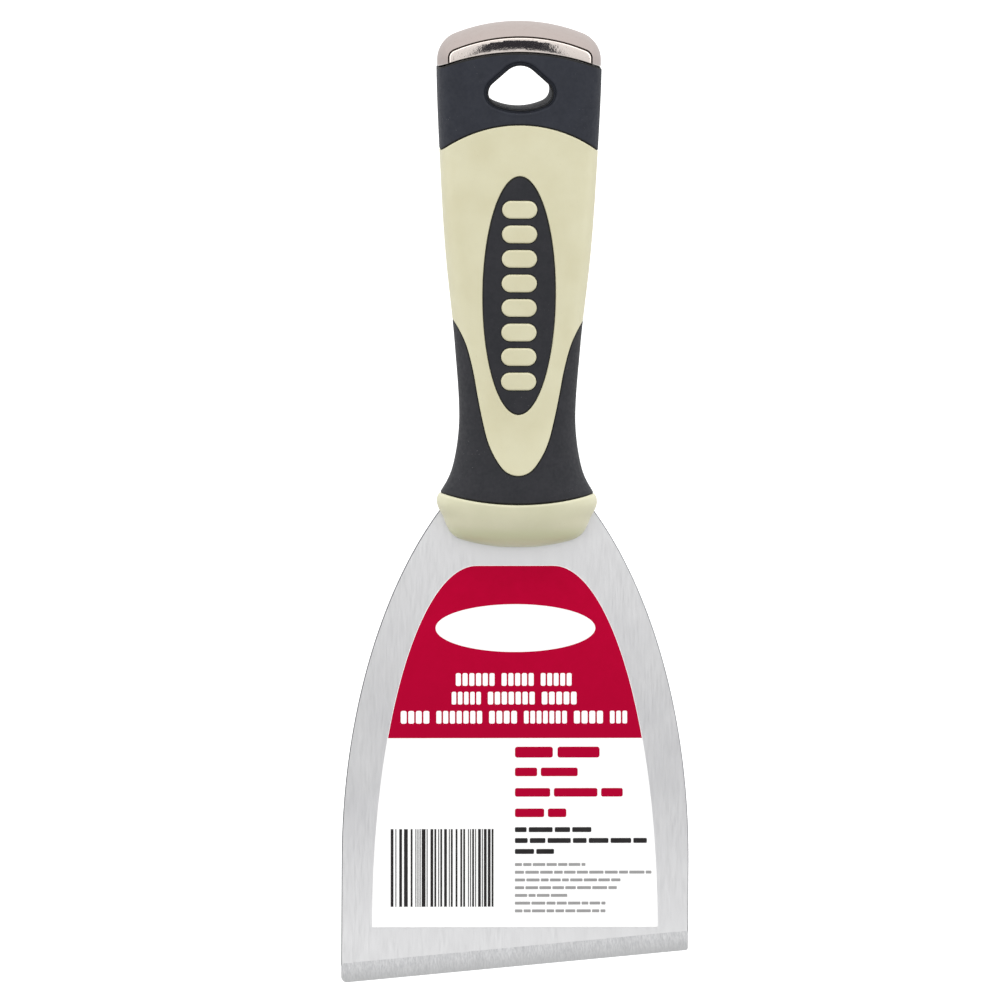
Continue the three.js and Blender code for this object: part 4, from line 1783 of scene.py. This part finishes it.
@dataclass
class Sticker:
    """The paper sticker on the front of the blade, with a plain generic print."""

    datum: Datum
    near_depth: float = 0.905
    far_depth: float = 1.04
    top_height: float = -4.1
    foot_height: float = -83.7
    half_width: float = 31.4
    top_half_width: float = 8.4
    foot_radius: float = 0.3
    paper_edge: float = 0.1
    turn: float = 0.26
    panel_foot: float = -42.1
    field_centre: tuple[float, float] = (0.1, -17.9)
    field_half_size: tuple[float, float] = (17.55, 5.26)
    rows: tuple[TextRow, ...] = (
        TextRow(-27.8, 2.8, -13.0, 12.8, Ink.PAPER, 1.5),
        TextRow(-31.9, 2.8, -13.9, 13.9, Ink.PAPER, 1.5),
        TextRow(-36.1, 2.8, -25.1, 25.0, Ink.PAPER, 1.5),
        TextRow(-44.0, 2.4, 0.0, 18.6, Ink.RED),
        TextRow(-48.6, 1.9, 0.0, 13.8, Ink.RED),
        TextRow(-53.1, 1.9, 0.0, 23.7, Ink.RED),
        TextRow(-57.6, 1.9, 0.0, 11.3, Ink.RED),
        TextRow(-61.7, 1.1, 0.0, 16.8, Ink.BLACK),
        TextRow(-64.1, 1.1, 0.0, 29.0, Ink.BLACK),
        TextRow(-66.5, 1.1, 0.0, 8.6, Ink.BLACK),
        TextRow(-69.6, 0.65, 0.0, 15.5, Ink.GREY),
        TextRow(-71.3, 0.65, 0.0, 30.0, Ink.GREY),
        TextRow(-73.0, 0.65, 0.0, 23.2, Ink.GREY),
        TextRow(-74.7, 0.65, 0.0, 22.4, Ink.GREY),
        TextRow(-76.4, 0.65, 0.0, 11.5, Ink.GREY),
        TextRow(-78.1, 0.65, 0.0, 19.9, Ink.GREY),
        TextRow(-79.8, 0.65, 0.0, 19.9, Ink.GREY),
    )
    bars_start: float = -27.3
    bars_end: float = -3.9
    bars_top: float = -62.1
    bars_foot: float = -79.2
    bars_rest: float = 1.2
    bar_widths: tuple[float, ...] = (0.22, 0.22, 0.42, 0.42, 0.62, 0.85)
    bar_gaps: tuple[float, ...] = (0.22, 0.24, 0.42, 0.62)
    word_lengths: tuple[float, float] = (2.2, 5.2)
    word_rest: float = 1.6
    word_gap: float = 0.42
    letter_gap: float = 0.24
    block_rounding: float = 0.22
    block_steps: int = 3
    field_points: int = 120
    seed: int = 7

    def outline(self) -> np.ndarray:
        """Draws the sticker's outline.

        Returns:
            The points, anticlockwise.
        """
        points = flaring_side(
            (self.half_width, self.foot_height), (self.top_half_width, self.top_height), 1.0
        )
        side = [Corner(x, height) for x, height in points]
        side[0] = Corner(side[0].x, side[0].height, self.foot_radius)
        left = [Corner(-corner.x, corner.height, corner.radius) for corner in reversed(side)]
        return rounded((*side, *left))

    def _block(self, start: float, end: float, top: float, height: float, radius: float) -> np.ndarray:
        """Draws one block with rounded corners.

        Args:
            start: Its left side.
            end: Its right side.
            top: The height of its upper side.
            height: How high it is.
            radius: The radius of its corners.

        Returns:
            Its outline.
        """
        foot = top - height
        corners = ((start, foot), (end, foot), (end, top), (start, top))
        return rounded([Corner(x, z, radius) for x, z in corners], self.block_steps)

    def _red_panel(self) -> np.ndarray:
        """Draws the red panel: the sticker's outline drawn in, down to the panel's foot.

        Returns:
            Its outline.
        """
        inner = shifted(self.outline(), self.paper_edge, Ends.JOINED)
        right = inner[inner[:, 0] > 0]
        right = right[np.argsort(right[:, 1])]
        corner = (np.interp(self.panel_foot, right[:, 1], right[:, 0]), self.panel_foot)
        right = np.vstack((corner, right[right[:, 1] > self.panel_foot]))
        return np.vstack((right, right[::-1] * (-1.0, 1.0)))

    def _words(self, chance: random.Random, row: TextRow) -> list[np.ndarray]:
        """Splits a row into words, and each word into blocks where the row is large.

        Lengths and gaps of words are shares of the row's height, and gaps of letters shares of a letter.

        Args:
            chance: The source of the words' lengths.
            row: The row.

        Returns:
            The blocks.
        """
        blocks = []
        start = row.start
        while start < row.end - row.height:
            length = row.height * chance.uniform(*self.word_lengths)
            end = min(start + length, row.end)
            if row.end - end < self.word_rest * row.height:
                end = row.end
            count = max(1, round((end - start) / row.letter)) if row.letter else 1
            pitch = (end - start) / count
            gap = self.letter_gap * row.letter
            radius = self.block_rounding * min(row.height, pitch)
            for index in range(count):
                left = start + index * pitch
                blocks.append(self._block(left, left + pitch - gap, row.top, row.height, radius))
            start = end + self.word_gap * row.height
        return blocks

    def _bars(self, chance: random.Random) -> list[np.ndarray]:
        """Draws a row of upright bars of mixed widths.

        Args:
            chance: The source of the widths and gaps.

        Returns:
            The bars.
        """
        bars = []
        foot, top = self.bars_foot, self.bars_top
        left = self.bars_start
        while left < self.bars_end - self.bars_rest:
            width = chance.choice(self.bar_widths)
            right = left + width
            bars.append(np.array(((left, foot), (right, foot), (right, top), (left, top))))
            left += width + chance.choice(self.bar_gaps)
        return bars

    def _print(self) -> list[tuple[np.ndarray, Ink]]:
        """Lists the printed areas.

        Returns:
            Each area's outline and ink, laid over the ones before it.
        """
        chance = random.Random(self.seed)
        angle = np.linspace(0.0, 2 * math.pi, self.field_points, endpoint=False)
        circle = np.column_stack((np.cos(angle), np.sin(angle)))
        bare_field = self.field_centre + circle * self.field_half_size
        areas = [(self._red_panel(), Ink.RED), (bare_field, Ink.PAPER)]
        for row in self.rows:
            areas += [(block, row.ink) for block in self._words(chance, row)]
        return areas + [(bar, Ink.BLACK) for bar in self._bars(chance)]

    def build(self, finishes: FinishSet) -> bpy.types.Object:
        """Builds the sticker and paints its front by the printed areas.

        Args:
            finishes: The materials.

        Returns:
            The piece.
        """
        outline = self.outline()
        areas = self._print()
        flat, triangles = triangulated([outline], marks=[area for area, _ in areas])
        middles = flat[triangles].mean(axis=1)
        paints = np.full(len(triangles), int(Ink.PAPER))
        for area, ink in areas:
            paints[inside(middles, [area])] = int(ink)
        draft = Draft()
        for ink in Ink:
            draft.add(np.insert(flat, 1, -self.far_depth, axis=1), triangles[paints == ink], int(ink))
        rings = [np.insert(outline, 1, -depth, axis=1) for depth in (self.far_depth, self.near_depth)]
        draft.add_strip(rings, closed=True)
        back, back_triangles = triangulated([outline])
        draft.add(np.insert(back, 1, -self.near_depth, axis=1), back_triangles)
        foot = np.array([0.0, 0.0, self.foot_height])
        askew = Matrix.Rotation(math.radians(self.turn), 3, "Y")
        draft.points = foot + (draft.points - foot) @ np.array(askew)
        inks = [finishes.paper, finishes.red, finishes.black, finishes.grey]
        piece = draft.to_object("blade_sticker", self.datum, inks)
        settle(piece, "printed_paper", "blade_label")
        return piece


class CapPaint(IntEnum):
    """The finishes of the cap, by their paint numbers."""

    SATIN = 0
    BRIGHT = 1
    TARNISH = 2


@dataclass
class HammerCap:
    """The plated metal end: a domed striking face over a bright crowned wall, with a fine groove between."""

    datum: Datum
    half_width: float = 18.0
    half_depth: float = 11.1
    seam_top: float = 108.95
    seam_radius: float = 48.5
    seam_play: float = 0.06
    top_height: float = 115.55
    top_radius: float = 38.0
    top_drop: float = 3.0
    side_inset: float = 2.15
    corner_radius: float = 6.3
    crease_corner: float = 2.0
    groove_width: float = 0.24
    groove_depth: float = 0.4
    wall_edge_radius: float = 0.32
    rim_radius: float = 0.28
    wall_crown: float = 1.0
    wall_bulge: float = 0.06
    wall_spacing: float = 0.45
    under_spacing: float = 2.5
    dome_stop: float = 0.3
    crown_limit: float = 1.2
    rows: int = 26
    side_points: int = 7
    corner_points: int = 17
    top_points: int = 45
    foot_points: int = 50
    wall_edge_points: int = 6
    rim_points: int = 7

    def _seam(self, x: np.ndarray) -> np.ndarray:
        """Gives the height of the cap's lower edge for each x."""
        radius = self.seam_radius + self.seam_play
        return self.seam_top - self.seam_radius + np.sqrt(radius**2 - x**2)

    def _crease(self, x: np.ndarray) -> np.ndarray:
        """Gives the height of the arc over the wall for each x."""
        return self.top_height - self.top_drop - self.top_radius + np.sqrt(self.top_radius**2 - x**2)

    def _outline(self, share: float) -> np.ndarray:
        """Draws the right half of the cap's outline at one depth.

        Args:
            share: The depth, from 0 in the middle to 1 at the wall.

        Returns:
            The points, from the rim at the side up to the top's middle.
        """
        fall = share**2
        width = self.half_width - self.side_inset * fall
        corner = self.corner_radius + (self.crease_corner - self.corner_radius) * fall
        centre = self.top_height - self.top_drop * fall - self.top_radius
        corner_x = width - corner
        corner_height = centre + math.sqrt((self.top_radius - corner) ** 2 - corner_x**2)
        tangent = math.atan2(corner_height - centre, corner_x)
        start = float(self._seam(np.array(width))) + self.rim_radius
        upright = np.linspace(start, corner_height, self.side_points)
        side = np.column_stack((np.full(self.side_points, width), upright))
        turn = np.linspace(0.0, tangent, self.corner_points)[1:]
        bend = np.column_stack((corner_x + corner * np.cos(turn), corner_height + corner * np.sin(turn)))
        crown = np.linspace(tangent, math.pi / 2, self.top_points)[1:]
        top = np.column_stack((self.top_radius * np.cos(crown), centre + self.top_radius * np.sin(crown)))
        top[-1, 0] = 0.0
        return np.vstack((side, bend, top))

    def _at_depth(self, line: np.ndarray, share: float) -> np.ndarray:
        """Stands a front-view line at its depth on the crowned front.

        Args:
            line: The line.
            share: The depth, from 0 in the middle to 1 at the wall.

        Returns:
            Its points.
        """
        front = self.half_width - self.side_inset
        across = np.clip(line[:, 0] / front, 0, self.crown_limit)
        depth = self.half_depth - self.wall_crown * across**2
        return np.column_stack((line[:, 0], -share * depth, line[:, 1]))

    def _on_wall(self, line: np.ndarray) -> np.ndarray:
        """Stands a front-view line on the wall, which is crowned from its foot to its top as well.

        Args:
            line: The line.

        Returns:
            Its points.
        """
        low, high = self._seam(line[:, 0]), self._crease(line[:, 0])
        up = np.clip((2 * line[:, 1] - low - high) / (high - low), -1, 1)
        standing = self._at_depth(line, 1.0)
        standing[:, 1] += self.wall_bulge * up**2
        return standing

    def build(self, finishes: FinishSet) -> bpy.types.Object:
        """Builds the cap from its quarter: dome, groove, wall, rim and underside.

        Args:
            finishes: The materials.

        Returns:
            The piece.
        """
        dome_share = 1 - self.dome_stop * self.groove_width / self.half_depth
        dome = [
            self._at_depth(self._outline(share), share)
            for share in np.linspace(0.0, 1.0, self.rows) * dome_share
        ]
        crease_line = self._outline(1.0)
        turns = np.linspace(0.0, math.pi / 2, self.wall_edge_points)
        insets = self.groove_width + self.wall_edge_radius * (1 - np.cos(turns))
        middle, *edge_lines = (
            shifted(crease_line, distance, Ends.SQUARE) for distance in (self.groove_width / 2, *insets)
        )
        for line in (middle, *edge_lines):
            line[-1, 0] = 0.0
            line[0, 1] = self._seam(line[0, 0]) + self.rim_radius
        bottom = self._at_depth(middle, 1.0) + (0.0, self.groove_depth, 0.0)
        edge = [
            self._on_wall(line) + (0.0, self.wall_edge_radius * (1 - math.sin(turn)), 0.0)
            for line, turn in zip(edge_lines, turns)
        ]
        inset = edge_lines[-1]
        foot_x = np.linspace(inset[0, 0], 0.0, self.foot_points)[1:]
        foot = np.column_stack((foot_x, self._seam(foot_x) + self.rim_radius))
        draft = Draft()
        draft.add_strip(dome, paint=CapPaint.SATIN)
        draft.add_strip([dome[-1], bottom, edge[0]], paint=CapPaint.TARNISH)
        draft.add_strip(edge, paint=CapPaint.BRIGHT)
        flat, triangles = triangulated([np.vstack((inset, foot[::-1]))], self.wall_spacing)
        draft.add(self._on_wall(flat), triangles, CapPaint.BRIGHT)
        ends = [row[0] for row in (*dome, bottom, *edge)]
        self._add_rim(draft, np.vstack((ends, self._on_wall(foot)))[:, :2])
        draft.mirror(0)
        draft.mirror(1)
        metals = [finishes.satin, finishes.bright, finishes.tarnish]
        piece = draft.to_object("hammer_cap_plated", self.datum, metals)
        settle(piece, "plated_metal", "hammer_cap")
        return piece

    def _add_rim(self, draft: Draft, plan: np.ndarray) -> None:
        """Adds the rounded lower rim and the underside.

        Args:
            draft: The cap's quarter.
            plan: The rim's line seen from above, from the side to the front.
        """
        rings = []
        for turn in np.linspace(0.0, math.pi / 2, self.rim_points):
            line = shifted(plan, -self.rim_radius * (1 - math.sin(turn)), Ends.SQUARE)
            line[0, 1] = 0.0
            line[-1, 0] = 0.0
            height = self._seam(line[:, 0]) + self.rim_radius * (1 - math.cos(turn))
            rings.append(np.column_stack((line, height)))
        draft.add_strip(rings, paint=CapPaint.BRIGHT)
        under = np.vstack((rings[0][:, :2], [(0.0, 0.0)]))
        flat, triangles = triangulated([under], self.under_spacing)
        draft.add(np.column_stack((flat, self._seam(flat[:, 0]))), triangles, CapPaint.BRIGHT)


# Studio


@dataclass(frozen=True)
class Softbox:
    """A rectangular lamp: its place and size in metres, and its power in watts."""

    name: str
    place: tuple[float, float, float]
    size: tuple[float, float]
    power: float


@dataclass
class Studio:
    """White surroundings, soft light from above and both sides, a pale floor and the camera."""

    datum: Datum
    floor_drop: float = 0.25
    azimuth: float = -1.6
    elevation: float = 3.0
    roll: float = 0.28
    lens: float = 1500.0
    frame_height: float = 0.2196
    aim: tuple[float, float] = (-3.7, 10.2)
    gap_across: tuple[float, float, float, float] = (-0.125, -0.115, 0.142, 0.152)
    gap_up: tuple[float, float, float, float] = (-0.15, -0.1, 0.085, 0.095)
    gap_bow: float = 3.2
    gap_ahead: tuple[float, float, float, float] = (-2.0, -1.0, -0.2, 0.0)
    gap_colour: ShaderColour = (0.035, 0.035, 0.042, 1.0)
    sky: tuple[tuple[float, float], ...] = (
        (0.0, 0.42), (0.25, 0.66), (0.4, 0.8), (0.5, 0.88), (0.7, 1.1), (1.0, 1.2),
    )
    floor_half_size: float = 60000.0
    floor_patch_size: float = 900.0
    floor_greys: tuple[float, float] = (0.93, 0.95)
    floor_roughness: float = 0.9
    floor_glow: float = 0.35
    lit_point: tuple[float, float, float] = (0.0, 0.0, -0.1)
    softboxes: tuple[Softbox, ...] = (
        Softbox("softbox_left", (-0.75, -1.0, 0.25), (0.6, 1.3), 2.2),
        Softbox("softbox_right", (0.75, -1.0, 0.25), (0.6, 1.3), 2.2),
        Softbox("side_left", (-1.2, 0.1, 0.1), (0.8, 1.2), 3.0),
        Softbox("side_right", (1.2, 0.1, 0.1), (0.8, 1.2), 3.0),
        Softbox("softbox_top", (0.0, -0.35, 1.1), (1.2, 0.8), 3.0),
    )
    sensor_width: float = 36.0
    clip_end: float = 200.0

    def surroundings(self) -> None:
        """Makes a white world, brighter above, with a dark gap in front where the camera stands."""
        world = bpy.data.worlds.new("studio_white")
        world.use_nodes = True
        tree = world.node_tree
        tree.nodes.clear()

        def add(kind: str, inputs: dict[str | int, object], **settings: object) -> bpy.types.Node:
            """Adds a node.

            Args:
                kind: The node's type.
                inputs: What goes into its sockets: a number, or another node's output.
                settings: Its own settings.

            Returns:
                The node.
            """
            node = tree.nodes.new(kind)
            for key, value in settings.items():
                setattr(node, key, value)
            for key, value in inputs.items():
                if isinstance(value, bpy.types.NodeSocket):
                    tree.links.new(value, node.inputs[key])
                else:
                    node.inputs[key].default_value = value
            return node

        def band(
            value: bpy.types.NodeSocket, edges: tuple[float, float, float, float]
        ) -> bpy.types.NodeSocket:
            """Marks a band of a value.

            Args:
                value: The value.
                edges: The band's four edges, in rising order.

            Returns:
                1 between the two middle edges, and 0 outside the two outer ones.
            """
            first, second, third, last = edges
            rising = {"Value": value, "From Min": first, "From Max": second}
            falling = {"Value": value, "From Min": last, "From Max": third}
            sides = [add("ShaderNodeMapRange", ends).outputs[0] for ends in (rising, falling)]
            return add("ShaderNodeMath", {0: sides[0], 1: sides[1]}, operation="MULTIPLY").outputs[0]

        place = add("ShaderNodeTexCoord", {}).outputs["Generated"]
        axes = add("ShaderNodeSeparateXYZ", {0: place}).outputs
        level = add("ShaderNodeMapRange", {"Value": axes["Z"], "From Min": -1.0})
        ramp = add("ShaderNodeValToRGB", {0: level.outputs[0]})
        stops = ramp.color_ramp.elements
        for stop, (position, value) in zip(stops, (self.sky[0], self.sky[-1])):
            stop.position, stop.color = position, grey(value)
        for position, value in self.sky[1:-1]:
            stops.new(position).color = grey(value)
        square = add("ShaderNodeMath", {0: axes["X"], 1: axes["X"]}, operation="MULTIPLY").outputs[0]
        bowed = {0: square, 1: self.gap_bow, 2: axes["Z"]}
        height = add("ShaderNodeMath", bowed, operation="MULTIPLY_ADD").outputs[0]
        gap = band(axes["X"], self.gap_across)
        for value, edges in ((height, self.gap_up), (axes["Y"], self.gap_ahead)):
            gap = add("ShaderNodeMath", {0: gap, 1: band(value, edges)}, operation="MULTIPLY").outputs[0]
        mixed = {MIX_SHARE: gap, MIX_FIRST: ramp.outputs[0], MIX_SECOND: self.gap_colour}
        light = add("ShaderNodeMix", mixed, data_type="RGBA")
        background = add("ShaderNodeBackground", {0: light.outputs[MIX_RESULT]})
        seen = add("ShaderNodeBackground", {0: grey(1.0)})
        straight = add("ShaderNodeLightPath", {}).outputs["Is Camera Ray"]
        choice = add("ShaderNodeMixShader", {0: straight, 1: background.outputs[0], 2: seen.outputs[0]})
        add("ShaderNodeOutputWorld", {0: choice.outputs[0]})
        bpy.context.scene.world = world

    def floor(self) -> bpy.types.Object:
        """Lays a plain pale floor well below the tool.

        Returns:
            The floor.
        """
        draft = Draft()
        low = self.datum.hang_height + (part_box("blade")[0][2] - self.floor_drop) / MILLIMETRE
        half = self.floor_half_size
        corners = np.array([(-half, -half, low), (half, -half, low), (half, half, low), (-half, half, low)])
        draft.add(corners, [(0, 1, 2, 3)])
        sheet = NodeSheet("pale_floor")
        sheet.set(
            Base_Color=sheet.blend(sheet.noise(self.floor_patch_size), *map(grey, self.floor_greys)),
            Roughness=self.floor_roughness,
            Emission_Color=grey(1.0),
            Emission_Strength=self.floor_glow,
        )
        floor = draft.to_object("floor", self.datum, [sheet.material])
        floor.visible_diffuse = False
        floor.visible_glossy = False
        return floor

    def lights(self) -> None:
        """Hangs tall softboxes beside the camera and beside the tool, and one above."""
        target = Vector(self.lit_point)
        for box in self.softboxes:
            lamp = bpy.data.lights.new(box.name, "AREA")
            lamp.shape = "RECTANGLE"
            lamp.size, lamp.size_y = box.size
            lamp.energy = box.power
            light = bpy.data.objects.new(box.name, lamp)
            light.location = box.place
            light.rotation_euler = (target - Vector(box.place)).to_track_quat("-Z", "Y").to_euler()
            bpy.context.scene.collection.objects.link(light)

    def camera(self) -> bpy.types.Object:
        """Sets up the camera at the photograph's viewing angle, with a long lens.

        Returns:
            The camera.
        """
        lens = bpy.data.cameras.new("camera")
        lens.lens = self.lens
        lens.sensor_width = self.sensor_width
        lens.clip_end = self.clip_end
        camera = bpy.data.objects.new("camera", lens)
        distance = self.lens / self.sensor_width * self.frame_height
        aim = Vector(self.datum.to_frame(np.array([self.aim[0], 0.0, self.aim[1]])).tolist())
        turn = (
            Matrix.Rotation(math.radians(self.azimuth), 4, "Z")
            @ Matrix.Rotation(math.radians(90.0 - self.elevation), 4, "X")
            @ Matrix.Rotation(math.radians(self.roll), 4, "Z")
        )
        camera.matrix_world = Matrix.Translation(aim) @ turn @ Matrix.Translation((0.0, 0.0, distance))
        bpy.context.scene.collection.objects.link(camera)
        bpy.context.scene.camera = camera
        return camera

    def grade(self) -> None:
        """Shows the colours as they are, so that white stays white."""
        bpy.context.scene.view_settings.view_transform = "Standard"
        bpy.context.scene.view_settings.look = "None"


def main() -> None:
    """Builds the tool piece by piece, then the studio round it."""
    logging.basicConfig(level=logging.INFO, format="%(name)s: %(message)s")
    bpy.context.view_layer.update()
    datum = Datum(HammerCap.top_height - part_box("hammer_cap")[1][2] / MILLIMETRE)
    finishes = FinishSet()
    lines = HandleLines(HandleForm())
    handle = Handle(lines, datum)
    blade = Blade(lines, datum)
    pieces = [
        handle.panel(finishes),
        handle.lower_grip(finishes),
        handle.collar(finishes),
        handle.inlay(finishes, Sides.FRONT),
        handle.inlay(finishes, Sides.BACK),
        handle.ribs(finishes, Sides.FRONT),
        handle.ribs(finishes, Sides.BACK),
        Bolster(datum).build(finishes, blade.slot_cutter()),
        blade.build(finishes),
        Sticker(datum).build(finishes),
        HammerCap(datum).build(finishes),
    ]
    for piece in pieces:
        log.info("%s: %d faces", piece.name, len(piece.data.polygons))
    studio = Studio(datum)
    studio.surroundings()
    studio.floor()
    studio.lights()
    studio.camera()
    studio.grade()


if __name__ == "__main__":
    main()
